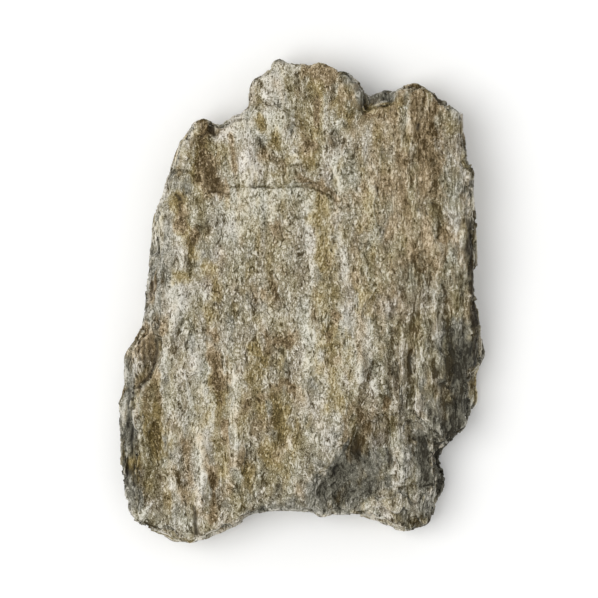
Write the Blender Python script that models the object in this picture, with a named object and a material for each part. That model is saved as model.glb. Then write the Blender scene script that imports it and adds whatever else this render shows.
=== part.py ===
"""A hand specimen of foliated metavolcanic rock, as one closed solid.

The slab lies on its underside. Its foliation sheets lie flat, one on another, and its lineation
runs along Y. The origin is on the resting plane, under the middle of the slab. Every size below
is in millimetres, and the finished mesh is scaled to metres.
"""

from math import radians

import bmesh
import bpy
import numpy as np
from mathutils import Matrix, noise

NODE = "rock"
METRES = 0.001

# Driving dimensions
THICKNESS = 21.0             # resting plane to the highest sheet, before its face is broken
FACE_DROP = 1.6              # how far the middle of the upper face lies under that
SHEET = 2.6                  # one foliation sheet, as it shows on the broken sides
SHEET_DIP = (0.030, -0.018)  # rise of the sheets per millimetre along X and Y
WIDEST = 8.0                 # height at which the slab reaches its outline
RIM_REACH = 9.0              # how far in from the outline the shape of the sides is felt
NORMAL_REACH = 1.6           # stretch of the outline that sets which way a side faces
BROKEN_MOST = 3.4            # the most that one sheet is broken back behind the others
TERRACE = 1.2                # height of a step on the underside

# How far the sides lean back above the widest level: everywhere, and more on the sides facing
# -X and +X. Both flanks die out towards +Y, as shares of their leans at places along Y.
# UNDERCUT is the lean below the widest level: the mean, the variation and the least.
LEAN, LEAN_LEFT, LEAN_RIGHT = 0.4, 4.4, 2.0
LEFT_FLANK = ((-58.0, 1.2), (-20.0, 1.0), (-4.0, 0.8), (16.0, 0.7), (27.0, 0.1))
RIGHT_FLANK = ((18.0, 1.0), (28.0, 0.15))
UNDERCUT = (2.6, 4.0, 0.8)
ENDS_WHOLE = 0.7             # how much less the upper sheets are broken at the two ends of the slab

# Working settings
BLANK_VOXEL = 0.75           # mesh size of the blank before it is shaped
SOLID_VOXEL = 0.65           # mesh size of the shaped solid before it is thinned out
FACES = 9800                 # triangles in the finished solid
SHARP_ANGLE = radians(38)    # edges bent further than this are broken edges, shaded sharp
FOOT_LEVEL = 0.2             # all that ends up lower than this lies flat on the resting plane

# The broken outline seen from above, clockwise from the lowest point of the left lobe.
LEFT_SIDE = [
    (-34.8, -65.0), (-36.0, -63.9), (-40.0, -62.3), (-43.3, -61.2), (-45.8, -59.8), (-47.8, -57.0),
    (-48.3, -53.5), (-48.7, -50.0), (-49.6, -43.0), (-49.2, -36.0), (-49.9, -28.6), (-48.4, -25.4),
    (-47.9, -22.0), (-48.1, -17.0), (-47.8, -14.0), (-46.8, -12.2), (-44.9, -9.8), (-43.5, -7.4),
    (-42.7, -4.0), (-42.2, 0.0), (-42.3, 4.5), (-41.5, 10.0), (-40.5, 17.0), (-40.3, 22.0),
    (-39.2, 25.2), (-37.6, 28.0), (-36.8, 31.0), (-36.4, 33.3), (-35.5, 33.8), (-35.2, 36.0),
    (-33.2, 42.2), (-30.3, 45.9), (-29.4, 47.8),
]
TOP_SIDE = [
    (-26.6, 49.2), (-25.0, 48.4), (-23.5, 47.8), (-23.1, 46.6), (-20.5, 48.4), (-18.4, 50.1),
    (-16.9, 49.7), (-15.6, 51.1), (-14.7, 50.9), (-14.5, 55.5), (-14.0, 57.9), (-12.9, 59.8),
    (-10.9, 60.4), (-9.8, 61.9), (-8.7, 62.3), (-8.4, 64.0), (-7.0, 65.2), (-5.4, 65.2),
    (-4.6, 64.1), (-1.6, 63.4), (0.2, 63.9), (2.0, 63.4), (4.8, 64.3), (7.3, 63.6),
    (8.6, 62.6), (9.3, 61.3), (10.6, 61.7), (12.5, 61.2), (13.3, 59.6), (14.9, 59.0),
    (16.4, 57.3), (17.4, 55.3), (18.3, 54.6), (19.6, 56.4), (22.7, 57.0), (24.4, 56.5),
    (26.8, 57.4), (29.4, 58.4), (31.4, 57.9), (35.2, 56.5), (36.3, 55.0), (37.0, 53.1),
    (38.4, 54.0), (39.5, 52.6), (42.5, 51.0),
]
RIGHT_SIDE = [
    (43.4, 49.2), (43.5, 46.5), (44.5, 37.6), (45.6, 36.4), (46.4, 34.8), (46.1, 27.6),
    (46.9, 21.0), (46.7, 17.0), (47.2, 10.0), (47.0, 5.0), (48.0, -2.0), (48.9, -9.5),
    (49.8, -14.9), (48.5, -17.8), (47.0, -19.2), (47.2, -24.0), (47.6, -27.0), (46.3, -29.2),
    (46.0, -31.6), (44.6, -34.8), (40.4, -37.4), (37.9, -40.7), (38.7, -49.5), (38.2, -51.9),
    (36.1, -53.7), (35.6, -57.2), (34.9, -59.4),
]
LOWER_SIDE = [
    (33.2, -60.9), (30.2, -61.5), (27.9, -62.1), (23.4, -61.2), (17.5, -59.1), (15.3, -58.1),
    (10.5, -57.8), (6.6, -58.0), (5.0, -58.8), (3.6, -57.2), (0.0, -56.6), (-5.5, -56.3),
    (-10.0, -56.8), (-13.8, -57.4), (-15.0, -58.6), (-16.7, -60.1), (-20.3, -61.7), (-22.0, -62.7),
    (-24.6, -63.3), (-26.2, -64.7), (-27.9, -64.3), (-29.9, -65.3), (-32.0, -64.8),
]
OUTLINE = LEFT_SIDE + TOP_SIDE + RIGHT_SIDE + LOWER_SIDE

# Places where a sheet has flaked off the upper face: depth, width of the broken edge, outline.
SCARS = {
    "upper_field": (0.7, 0.9, [
        (-40.0, 36.5), (-35.0, 34.8), (-32.0, 34.2), (-28.5, 34.8), (-26.0, 31.5), (-21.5, 28.5),
        (-17.0, 28.2), (-14.0, 30.0), (0.0, 30.6), (3.0, 30.8), (9.0, 26.5), (10.8, 38.0),
        (12.5, 50.0), (16.0, 50.3), (20.0, 53.0), (20.0, 66.0), (0.0, 72.0), (-40.0, 60.0)]),
    "tab_left": (0.9, 0.9, [
        (-18.0, 50.8), (-10.0, 52.2), (-5.0, 52.0), (-4.0, 48.0), (-1.0, 45.0), (1.5, 46.0),
        (2.2, 52.0), (3.0, 70.0), (-18.0, 70.0)]),
    "cross_recess": (0.5, 0.9, [
        (-14.0, 30.2), (3.0, 31.0), (6.5, 28.6), (9.0, 26.8), (9.3, 31.0), (8.5, 34.0),
        (5.5, 36.3), (-5.0, 36.0), (-9.0, 34.5), (-14.0, 33.0)]),
    "left_trough": (1.6, 1.8, [
        (-28.8, 44.0), (-25.4, 45.6), (-22.8, 47.0), (-24.0, 40.0), (-22.5, 36.0), (-21.0, 32.0),
        (-21.5, 28.9), (-24.3, 30.0), (-26.5, 33.0), (-28.5, 38.0)]),
    "left_hollow": (2.8, 1.6, [
        (-54.0, -6.5), (-41.0, -7.5), (-37.3, -9.5), (-37.2, -13.0), (-38.5, -17.0),
        (-40.5, -20.5), (-44.0, -24.0), (-54.0, -26.5)]),
    "corner_break": (2.0, 4.0, [
        (18.0, -30.5), (15.5, -34.0), (12.5, -38.0), (9.0, -42.5), (6.0, -45.0), (3.5, -49.0),
        (-1.0, -53.0), (-4.0, -60.0), (42.0, -66.0), (42.0, -42.0), (36.5, -37.0), (31.0, -31.0),
        (24.0, -29.7)]),
    "corner_crack": (0.9, 0.9, [
        (18.0, -30.2), (24.0, -29.8), (31.0, -31.0), (36.5, -37.0), (42.0, -42.0), (42.0, -66.0),
        (10.0, -66.0), (7.5, -50.0), (8.0, -44.0), (13.0, -40.5), (16.5, -35.0)]),
    "top_notch": (7.5, 1.0, [
        (16.6, 50.2), (19.5, 52.5), (23.9, 53.0), (24.4, 58.0), (24.5, 64.0), (16.6, 64.0),
        (17.6, 55.0)]),
    "right_flap": (9.0, 1.0, [
        (35.9, -40.6), (42.0, -40.0), (42.0, -55.0), (36.2, -54.0), (35.6, -47.0)]),
    "right_strip": (9.0, 0.9, [
        (45.9, -18.6), (52.0, -18.0), (52.0, -29.6), (45.0, -29.6), (45.3, -24.0)]),
}

# Grooves and steps of a whole sheet: width and length of one, its height, and a seed.
GROOVES = [(7.5, 38.0, 0.60, 11.0), (3.2, 22.0, 0.60, 23.0), (5.0, 8.0, 0.40, 31.0)]
STEPS = [(4.4, 20.0, 0.34, 37.0), (2.8, 7.5, 0.24, 39.0)]
BLOCKS = (5.0, 7.0, 0.80, 43.0)   # the same for the blocks in the broken corner

# Flutes of the upper face: start, end, half width and height, which is negative for a furrow.
FLUTES = [
    ((-27.2, -34.0), (-27.0, -52.0), 1.8, 1.0), ((-18.4, -18.0), (-17.8, -44.0), 1.9, 1.0),
    ((-33.5, -14.0), (-34.5, -40.0), 2.2, 0.7), ((-22.2, -14.0), (-22.3, -52.0), 1.8, -1.2),
    ((-40.2, -24.0), (-39.0, -44.0), 1.8, -1.1), ((-13.0, -20.0), (-14.0, -45.0), 1.8, -0.8),
    ((-31.0, -22.0), (-31.2, -50.0), 1.2, -0.6), ((-9.5, -22.0), (-9.8, -38.0), 1.5, 0.5),
    ((21.4, -8.0), (20.8, -18.0), 1.2, 0.7), ((26.4, -11.0), (26.6, -28.0), 1.1, 0.9),
    ((31.0, -10.0), (31.2, -28.0), 1.5, 0.6), ((24.5, -13.0), (25.0, -28.5), 1.0, -1.2),
    ((28.7, -14.0), (28.3, -28.5), 1.1, -1.0), ((22.7, -16.0), (22.8, -28.5), 0.8, -0.6),
    ((18.8, -16.5), (16.4, -23.5), 1.1, -1.1), ((16.3, -24.0), (15.2, -35.0), 1.3, -1.1),
    ((20.0, -1.5), (21.1, -9.5), 0.8, -0.9), ((6.0, 22.0), (8.6, -16.0), 1.6, -0.45),
    ((36.4, 26.0), (37.4, 16.5), 1.4, -0.8), ((-30.0, 16.0), (-29.4, 9.0), 1.1, -0.7),
    ((35.3, -12.0), (35.5, -31.0), 1.3, -0.6), ((40.4, -8.0), (40.9, -24.0), 1.3, -0.7),
    ((26.0, -34.0), (27.2, -49.0), 1.7, 1.2), ((32.8, -39.0), (33.0, -48.5), 2.2, -1.1),
    ((20.0, -51.6), (26.0, -50.4), 0.9, -1.0), ((26.0, -50.4), (34.5, -50.4), 0.9, -1.2),
    ((29.0, 52.0), (30.0, 42.0), 1.6, 0.6), ((8.8, 28.0), (9.8, 40.0), 1.2, 0.5),
]

# Lumps and hollows of the upper face: place, radius and height.
LUMPS = [
    ((19.3, -23.3), 1.8, 1.1), ((15.2, -18.0), 1.9, 0.8), ((15.4, -39.5), 3.0, -2.6),
    ((12.3, -50.5), 4.5, -1.6), ((8.6, -45.5), 1.3, -2.0), ((12.0, -45.0), 2.3, 1.2),
    ((27.0, -56.0), 6.5, 1.8), ((-33.3, 0.0), 3.6, 0.9), ((-27.0, 47.0), 2.6, 1.8),
    ((-24.0, 45.3), 1.3, -2.0), ((-40.2, 3.0), 1.1, -1.4), ((-6.0, 18.0), 2.4, -0.6),
    ((-8.0, 3.0), 2.4, -0.6), ((-5.6, -11.0), 2.4, -0.7), ((2.0, -17.0), 2.6, 0.6),
    ((-6.0, -33.0), 3.2, -0.6), ((2.5, -37.0), 2.6, 0.5), ((-17.0, 38.0), 4.5, 0.7),
    ((-16.0, 24.0), 4.5, 0.6),
]


def lineation(x, y):
    """Distances across and along the lineation, which fans out a little towards -Y."""
    lean = np.interp(x, [-48.0, -25.0, 0.0, 15.0, 32.0, 48.0], [0.18, 0.05, -0.07, -0.08, -0.02, 0.02])
    return x - lean * y, y


def seeded(x, y, z, seed):
    """The points (x, y, z), moved to the part of the endless noise that the seed names."""
    x, y, z = np.broadcast_arrays(x + seed, y - seed, z + 0.5 * seed)
    return zip(x.tolist(), y.tolist(), z.tolist())


def wave(x, y, z=0.0, seed=0.0):
    """Smooth noise between about -1 and 1 at every point."""
    return np.array([noise.noise(point) for point in seeded(x, y, z, seed)])


def plates(x, y, z=0.0, seed=0.0):
    """Flat, slightly tilted chips with sharp borders: about -1 to 1 at every point."""
    values = []
    for point in seeded(x, y, z, seed):
        centre = noise.voronoi(point)[1][0]
        slope = noise.cell_vector(centre * 37.0)
        lean = sum((slope[k] - 0.5) * (point[k] - centre[k]) for k in range(3))
        values.append(2.0 * noise.cell(centre * 53.0) - 1.0 + 1.2 * lean)
    return np.array(values)


def smooth(share):
    """0 below 0, 1 above 1, and a smooth climb between them."""
    share = np.clip(share, 0.0, 1.0)
    return share * share * (3.0 - 2.0 * share)


def nearest_on(path, points, closed=True):
    """Distance from each point to a path, and the path's own right-hand direction close by."""
    path = np.array(path, float)
    starts, ends = (path, np.roll(path, -1, axis=0)) if closed else (path[:-1], path[1:])
    nearest = np.full(len(points), np.inf)
    across = np.zeros((len(points), 2))
    for start, end in zip(starts, ends):
        along = end - start
        share = np.clip((points - start) @ along / (along @ along), 0.0, 1.0)
        square = ((points - start - share[:, None] * along) ** 2).sum(axis=1)
        nearest = np.minimum(nearest, square)
        weight = 1.0 / (square + NORMAL_REACH ** 2) ** 2
        across += weight[:, None] * np.array([along[1], -along[0]])
    return np.sqrt(nearest), across / np.hypot(*across.T)[:, None]


def inside(path, points):
    """True for each point inside a closed path, by counting the sides to its right."""
    odd = np.zeros(len(points), bool)
    for (x0, y0), (x1, y1) in zip(path, path[1:] + path[:1]):
        if y0 == y1:
            continue
        spans = (points[:, 1] > y0) != (points[:, 1] > y1)
        odd ^= spans & (points[:, 0] < x0 + (points[:, 1] - y0) * (x1 - x0) / (y1 - y0))
    return odd


def depth_in(path, points):
    """Signed distance to a closed path, positive inside, and the direction that leads inwards."""
    distance, inward = nearest_on(path, points)
    return np.where(inside(path, points), distance, -distance), inward


def upper_face(points, rim_depth):
    """Height of the upper face at each point. rim_depth is its distance from the slab's rim."""
    x, y = points.T
    across, along = lineation(x, y)
    # broad swells, the slope down to the right and the fall towards the narrow end
    height = THICKNESS - FACE_DROP + 1.0 * wave(x / 42.0, y / 60.0, seed=3.0)
    height -= 0.34 * np.maximum(0.0, x - 36.0) * smooth((22.0 - y) / 40.0)
    height -= 0.05 * np.maximum(0.0, y - 30.0)
    # grooves and small steps, deeper to the right and at the wide end
    worn = 0.6 + 0.4 * smooth((x - 8.0) / 14.0) + 0.3 * smooth((-8.0 - y) / 16.0)
    for width, length, rise, seed in GROOVES:
        height += worn * rise * wave(across / width, along / length, seed=seed)
    for width, length, rise, seed in STEPS:
        height += worn * rise * plates(across / width, along / length, seed=seed)
    width, length, rise, seed = BLOCKS
    in_corner = smooth(depth_in(SCARS["corner_break"][2], points)[0] / 5.0)
    height += in_corner * rise * plates(x / width, y / length, seed=seed)
    # places where a sheet has flaked off, with ragged edges
    ragged = 0.7 * wave(x / 3.0, y / 4.0, seed=41.0) + 0.3 * plates(x / 3.5, y / 4.5, seed=47.0)
    for depth, edge, path in SCARS.values():
        height -= depth * smooth((depth_in(path, points)[0] + ragged) / edge + 0.5)
    for start, end, half_width, rise in FLUTES:
        distance = nearest_on([start, end], points, closed=False)[0]
        height += rise * np.exp(-(distance / half_width) ** 2)
    for place, radius, rise in LUMPS:
        distance = np.hypot(x - place[0], y - place[1])
        height += rise * np.exp(-(distance / radius) ** 2)
    # the rim is crumbled down
    crumbled = 0.6 + 0.5 * plates(x / 4.0, y / 4.0, seed=49.0)
    return height - crumbled * np.exp(-np.maximum(rim_depth, 0.0) / 1.2)


def under_face(points, rim_depth):
    """Height of the underside. Its lowest sheet ends in broad patches that lie on the plane."""
    x, y = points.T
    across, along = lineation(x, y)
    swell = 1.2 * wave(x / 27.0, y / 40.0, seed=53.0) + 0.5 * wave(x / 11.0, y / 20.0, seed=57.0)
    swell += 0.12 * plates(x / 5.0, y / 12.0, seed=59.0)
    height = TERRACE * (smooth((swell - 0.04) / 0.10) + smooth((swell - 0.40) / 0.10))
    grooves = 0.5 * wave(across / 5.0, along / 30.0, seed=61.0)
    grooves += 0.35 * plates(x / 6.0, y / 16.0, seed=64.0)
    height += np.maximum(0.0, grooves - 0.1) * smooth((height - 0.2) / 0.8)
    height += 0.9 * np.maximum(0.0, wave(across / 9.0, along / 40.0, seed=73.0) - 0.25)
    # the lower rim is broken up, more in some places than in others
    broken = 2.2 + 2.0 * wave(x / 12.0, y / 12.0, seed=75.0) + 0.8 * plates(x / 6.0, y / 6.0, seed=77.0)
    return height + np.maximum(broken, 0.4) * np.exp(-np.maximum(rim_depth, 0.0) / 1.5)


def sheet_edge(x, y, sheet):
    """How far one sheet is broken back, as a share that is mostly between -1 and 1."""
    own = np.array([noise.cell((37.3 * number, 1.7, 9.1)) for number in sheet.tolist()]) - 0.5
    long_bays = 1.5 * wave(x / 21.0, y / 21.0, 3.7 * sheet, seed=83.0)
    return 1.1 * own + long_bays + 0.3 * plates(x / 7.0, y / 7.0, 3.7 * sheet, seed=97.0)


def side_inset(points, level, inward):
    """How far the broken side stands in from the outline, at each point and height."""
    x, y = points.T
    dip = SHEET_DIP[0] * x + SHEET_DIP[1] * y
    bent = level + dip + 1.3 * wave(x / 30.0, y / 30.0, seed=79.0)
    # each sheet keeps its own edge for most of its thickness, then steps to the next one's
    sheet = np.floor(bent / SHEET)
    step = smooth((bent / SHEET - sheet - 0.84) / 0.16)
    stepped = (sheet + step) * SHEET - dip
    above = smooth((stepped - WIDEST) / (THICKNESS - WIDEST))
    below = smooth((WIDEST - stepped) / WIDEST)
    faces_left, faces_right = np.maximum(inward[:, 0], 0.0), np.maximum(-inward[:, 0], 0.0)
    faces_end = np.abs(inward[:, 1])
    lean = LEAN + LEAN_LEFT * np.interp(y, *zip(*LEFT_FLANK)) * faces_left ** 1.5
    lean += LEAN_RIGHT * np.interp(y, *zip(*RIGHT_FLANK)) * faces_right ** 2
    lean *= 1.0 + 0.6 * wave(x / 16.0, y / 16.0, seed=81.0)
    undercut = UNDERCUT[0] + UNDERCUT[1] * wave(x / 14.0, y / 14.0, seed=85.0)
    edge = (1.0 - step) * sheet_edge(x, y, sheet) + step * sheet_edge(x, y, sheet + 1)
    broken = 2.6 * np.maximum(0.0, edge + 0.15) + 0.5 * wave(x / 5.0, y / 5.0, level / 4.0, seed=89.0)
    # near the widest level the sheets keep close to the outline
    free = np.clip(np.abs(level - WIDEST) / (0.6 * WIDEST), 0.3, 1.0)
    free = free * (1.0 - ENDS_WHOLE * faces_end * smooth((level - WIDEST) / 5.0))
    return lean * above + np.maximum(undercut, UNDERCUT[2]) * below + np.minimum(broken, BROKEN_MOST) * free


def broken_surface(vertices):
    """Moves the vertices of the blank to the slab's broken surface."""
    flat, share = vertices[:, :2], vertices[:, 2] / THICKNESS
    depth, inward = depth_in(OUTLINE, flat)
    near_side = np.exp(-np.maximum(depth, 0.0) / RIM_REACH)
    inset = near_side * side_inset(flat, share * THICKNESS, inward)
    flat = flat + inward * inset[:, None]
    depth = depth + inset
    top_inset = side_inset(flat, np.full(len(flat), THICKNESS), inward)
    bottom_inset = side_inset(flat, np.zeros(len(flat)), inward)
    high = upper_face(flat, depth - top_inset)
    low = under_face(flat, depth - bottom_inset)
    return np.column_stack([flat, np.maximum(low + share * (high - low), 0.0)])


def blank_mesh():
    """The outline as a flat face, pulled up to the slab's thickness."""
    blank = bmesh.new()
    face = blank.faces.new([blank.verts.new((x, y, 0.0)) for x, y in OUTLINE])
    pulled = bmesh.ops.extrude_face_region(blank, geom=[face])["geom"]
    raised = [item for item in pulled if isinstance(item, bmesh.types.BMVert)]
    bmesh.ops.translate(blank, verts=raised, vec=(0.0, 0.0, THICKNESS))
    bmesh.ops.recalc_face_normals(blank, faces=blank.faces)
    mesh = bpy.data.meshes.new(NODE)
    blank.to_mesh(mesh)
    blank.free()
    return mesh


def evaluated(obj, kind, **settings):
    """Puts one modifier on the object and makes its result the object's own mesh."""
    modifier = obj.modifiers.new(kind.title(), kind)
    for name, value in settings.items():
        setattr(modifier, name, value)
    graph = bpy.context.evaluated_depsgraph_get()
    mesh = bpy.data.meshes.new_from_object(obj.evaluated_get(graph))
    obj.modifiers.remove(modifier)
    obj.data = mesh
    return mesh


def coordinates(mesh):
    flat = np.empty(len(mesh.vertices) * 3)
    mesh.vertices.foreach_get("co", flat)
    return flat.reshape(-1, 3)


def move_vertices(mesh, points):
    mesh.vertices.foreach_set("co", points.ravel())
    mesh.update()


def rest_on_plane(mesh):
    """Flattens what all but touches the resting plane, and centres the slab over the origin."""
    points = coordinates(mesh)
    points[:, :2] -= (points[:, :2].min(axis=0) + points[:, :2].max(axis=0)) / 2.0
    points[:, 2] = np.where(points[:, 2] < FOOT_LEVEL, 0.0, points[:, 2])
    move_vertices(mesh, points)


def stone():
    """Weathered greenschist: dull, between grey-green and ochre."""
    material = bpy.data.materials.new("metavolcanic_stone")
    material.use_nodes = True
    surface = material.node_tree.nodes["Principled BSDF"]
    surface.inputs["Base Color"].default_value = (0.27, 0.24, 0.17, 1.0)
    surface.inputs["Roughness"].default_value = 0.78
    surface.inputs["Metallic"].default_value = 0.0
    return material


def build_rock():
    """Blank, broken surface, one closed skin around it, and then fewer triangles."""
    obj = bpy.data.objects.new(NODE, blank_mesh())
    bpy.context.scene.collection.objects.link(obj)
    mesh = evaluated(obj, "REMESH", mode="VOXEL", voxel_size=BLANK_VOXEL)
    move_vertices(mesh, broken_surface(coordinates(mesh)))
    mesh = evaluated(obj, "REMESH", mode="VOXEL", voxel_size=SOLID_VOXEL)
    rest_on_plane(mesh)
    triangles = sum(len(face.vertices) - 2 for face in mesh.polygons)
    mesh = evaluated(obj, "DECIMATE", ratio=FACES / triangles)
    rest_on_plane(mesh)
    mesh.transform(Matrix.Scale(METRES, 4))
    mesh.name = NODE
    mesh.materials.clear()
    mesh.materials.append(stone())
    mesh.shade_smooth()
    mesh.set_sharp_from_angle(angle=SHARP_ANGLE)


for leftover in list(bpy.data.objects):
    bpy.data.objects.remove(leftover)
build_rock()
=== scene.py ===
# %% [markdown]
# # A slab of metavolcanic rock
# The rock is one broken slab of greenschist: lava that was squeezed and heated until its minerals
# grew into thin flat sheets, all stretched one way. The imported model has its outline, its ledges
# and the broken corner. This script takes that solid as a guide and makes the surface of stone:
# thin sheets on the sides, grooves, grains, cracks and weathering.

# %% Load the frame
import time

import bmesh
import bpy
import numpy as np
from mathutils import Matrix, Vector, noise


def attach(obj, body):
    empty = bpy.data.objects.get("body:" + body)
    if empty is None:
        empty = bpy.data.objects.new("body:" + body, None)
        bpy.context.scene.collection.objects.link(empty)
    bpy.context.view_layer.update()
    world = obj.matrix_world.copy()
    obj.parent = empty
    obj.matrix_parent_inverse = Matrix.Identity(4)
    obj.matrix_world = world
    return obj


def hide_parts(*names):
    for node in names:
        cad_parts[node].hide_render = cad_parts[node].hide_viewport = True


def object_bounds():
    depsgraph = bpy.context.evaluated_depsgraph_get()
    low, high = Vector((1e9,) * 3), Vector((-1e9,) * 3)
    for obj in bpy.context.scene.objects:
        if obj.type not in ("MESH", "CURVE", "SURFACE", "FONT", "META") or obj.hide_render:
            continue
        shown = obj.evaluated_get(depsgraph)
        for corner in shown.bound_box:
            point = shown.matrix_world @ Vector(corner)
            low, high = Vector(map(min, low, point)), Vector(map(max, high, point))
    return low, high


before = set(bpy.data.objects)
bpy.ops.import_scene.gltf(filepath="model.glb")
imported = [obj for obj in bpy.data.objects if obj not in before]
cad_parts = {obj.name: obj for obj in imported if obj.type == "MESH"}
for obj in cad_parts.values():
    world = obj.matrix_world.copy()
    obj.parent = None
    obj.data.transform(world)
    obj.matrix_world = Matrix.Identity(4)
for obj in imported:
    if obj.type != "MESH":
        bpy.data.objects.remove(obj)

MM = 0.001


def in_mm(box):
    return [[round(value / MM, 1) for value in corner] for corner in box]


started = time.time()
cad_box = [list(corner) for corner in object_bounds()]
print("CAD box, mm:", in_mm(cad_box))

# %% [markdown]
# ## Camera
# The slab is seen from straight above through a long lens, so that its sides hardly show. An
# orthographic camera would hide them altogether. The picture is as wide as a stretch of 161.5 mm at
# the level where the slab is widest, and its middle is a little to the left of the slab's middle
# and above it.

# %% Camera over the slab
PICTURE_WIDTH = 161.5 * MM
PICTURE_MIDDLE = Vector((-0.8 * MM, 0.4 * MM, 8.0 * MM))
LENS, SENSOR = 300.0, 36.0


def put_in_scene(name, data):
    obj = bpy.data.objects.new(name, data)
    bpy.context.scene.collection.objects.link(obj)
    return obj


lens = bpy.data.cameras.new("overhead")
lens.lens, lens.sensor_width = LENS, SENSOR
lens.clip_start, lens.clip_end = 0.01, 10.0
camera = put_in_scene("overhead", lens)
camera.location = PICTURE_MIDDLE + Vector((0.0, 0.0, PICTURE_WIDTH * LENS / SENSOR))
bpy.context.scene.camera = camera
print("camera height, m:", round(camera.location.z, 3))

# %% [markdown]
# ## Colours
# Colours are written as they look on a screen, in sRGB hex, and one function turns them to the
# linear values that Blender's sockets hold. The AgX view would turn a white floor grey, and the
# Standard view shows it as white.

# %% Colour helper and view
def linear(hex_colour, alpha=1.0):
    parts = [int(hex_colour[i:i + 2], 16) / 255.0 for i in (1, 3, 5)]
    return tuple(p / 12.92 if p <= 0.04045 else ((p + 0.055) / 1.055) ** 2.4 for p in parts) + (alpha,)


bpy.context.scene.view_settings.view_transform = "Standard"
print("mid tan is", [round(value, 3) for value in linear("#A0957A")])

# %% [markdown]
# ## Light
# A large soft lamp stands to the left, about 63 degrees up, and a bright white dome fills the
# shadows. A small lamp would draw them hard and black. This one is wide, so the shadow beside the
# slab fades out over about 15 mm.

# %% Soft lamp and dome
LAMP_WAY = Vector((-0.80, -0.06, 1.60)).normalized()
LAMP_DISTANCE, LAMP_SIZE, LAMP_POWER = 1.2, 0.90, 7.6
DOME_STRENGTH = 0.75

lamp = bpy.data.lights.new("soft_lamp", "AREA")
lamp.shape, lamp.size, lamp.energy = "DISK", LAMP_SIZE, LAMP_POWER
lamp_stand = put_in_scene("soft_lamp", lamp)
lamp_stand.location = LAMP_WAY * LAMP_DISTANCE
lamp_stand.rotation_euler = LAMP_WAY.to_track_quat("Z", "Y").to_euler()

dome = bpy.data.worlds.new("white_dome")
dome.use_nodes = True
dome.node_tree.nodes["Background"].inputs["Color"].default_value = (1.0, 1.0, 1.0, 1.0)
dome.node_tree.nodes["Background"].inputs["Strength"].default_value = DOME_STRENGTH
bpy.context.scene.world = dome
print("lamp and dome are in place")

# %% [markdown]
# ## Floor
# The floor is a plain sheet of matt white board that runs past the picture on all sides. A backdrop
# that curves up would do for a view from the side, but a flat sheet does for every view here.

# %% Floor
FLOOR_HALF = 4.0   # metres


def new_material(name):
    material = bpy.data.materials.new(name)
    material.use_nodes = True
    return material, material.node_tree, material.node_tree.nodes["Principled BSDF"]


# uncoated board: no sheen, so only the soft shadow shows on it
paper, _, paper_surface = new_material("matt_white_board")
paper_surface.inputs["Base Color"].default_value = linear("#F8F8F7")
paper_surface.inputs["Roughness"].default_value = 0.9
paper_surface.inputs["Specular IOR Level"].default_value = 0.1

plan = bmesh.new()
bmesh.ops.create_grid(plan, x_segments=1, y_segments=1, size=FLOOR_HALF)
board = bpy.data.meshes.new("board")
plan.to_mesh(board)
plan.free()
board.materials.append(paper)
floor = put_in_scene("board", board)
print("floor is", floor.dimensions.x, "m wide")

# %% [markdown]
# ## A skin with enough vertices
# The guide is a faceted solid whose triangles are about three millimetres long. A copy of it is
# merged, and a voxel remesh lays an even skin of small faces over it. Subdividing the facets would
# keep their long thin triangles, which look torn once they are displaced. A little smoothing takes
# the facets' edges away. Around the worn hollows, given as spots on the face with a radius, it is
# much stronger, because their rims are rounded. The relief that follows moves this skin's points.

# %% Skin
SKIN_VOXEL = 0.42 * MM
SKIN_SMOOTHING = 4
HOLLOW_SMOOTHING = 120
WORN_HOLLOWS = (
    (14.0, -39.0, 6.0), (11.0, -47.0, 5.0), (20.0, -44.0, 5.0), (-24.6, 33.0, 7.0), (-26.0, 40.0, 4.0),
)
MERGE_DISTANCE = 0.001 * MM


def with_modifier(obj, kind, **settings):
    modifier = obj.modifiers.new(kind.title(), kind)
    for name, value in settings.items():
        setattr(modifier, name, value)
    graph = bpy.context.evaluated_depsgraph_get()
    obj.data = bpy.data.meshes.new_from_object(obj.evaluated_get(graph))
    obj.modifiers.clear()


def merged_copy(name, source):
    shape = bmesh.new()
    shape.from_mesh(source.data)
    bmesh.ops.remove_doubles(shape, verts=shape.verts, dist=MERGE_DISTANCE)
    mesh = bpy.data.meshes.new(name)
    shape.to_mesh(mesh)
    shape.free()
    return put_in_scene(name, mesh)


rock = merged_copy("foliated_slab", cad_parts["rock"])
with_modifier(rock, "REMESH", mode="VOXEL", voxel_size=SKIN_VOXEL)
with_modifier(rock, "SMOOTH", factor=0.5, iterations=SKIN_SMOOTHING)
worn = rock.vertex_groups.new(name="worn")
for centre_x, centre_y, radius in WORN_HOLLOWS:
    centre = Vector((centre_x, centre_y, 0.0)) * MM
    near = [vertex.index for vertex in rock.data.vertices
            if vertex.normal.z > 0.1 and (vertex.co - centre).xy.length < radius * MM]
    worn.add(near, 1.0, "REPLACE")
with_modifier(rock, "SMOOTH", factor=0.5, iterations=HOLLOW_SMOOTHING, vertex_group="worn")
rock.vertex_groups.clear()
print("skin:", len(rock.data.vertices), "vertices")

# %% [markdown]
# ## Noise to sculpt with
# Two kinds of noise do most of the work. A wave is smooth and makes swells and grooves. Plates are
# flat chips with sharp borders, which is how this stone breaks. Both take coordinates that are
# already divided by the size that one wave or chip should have, so that they stretch as the
# minerals do. smooth((a - b) / c) climbs from 0, where a is b, to 1, where a is b + c. The
# lineation leans a little to either side across the slab.

# %% Noise helpers
def seeded(x, y, z, seed):
    x, y, z = np.broadcast_arrays(x + seed, y - seed, z + 0.5 * seed)
    return zip(x.tolist(), y.tolist(), z.tolist())


def wave(x, y, z, seed):
    return np.array([noise.noise(point) for point in seeded(x, y, z, seed)])


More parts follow.
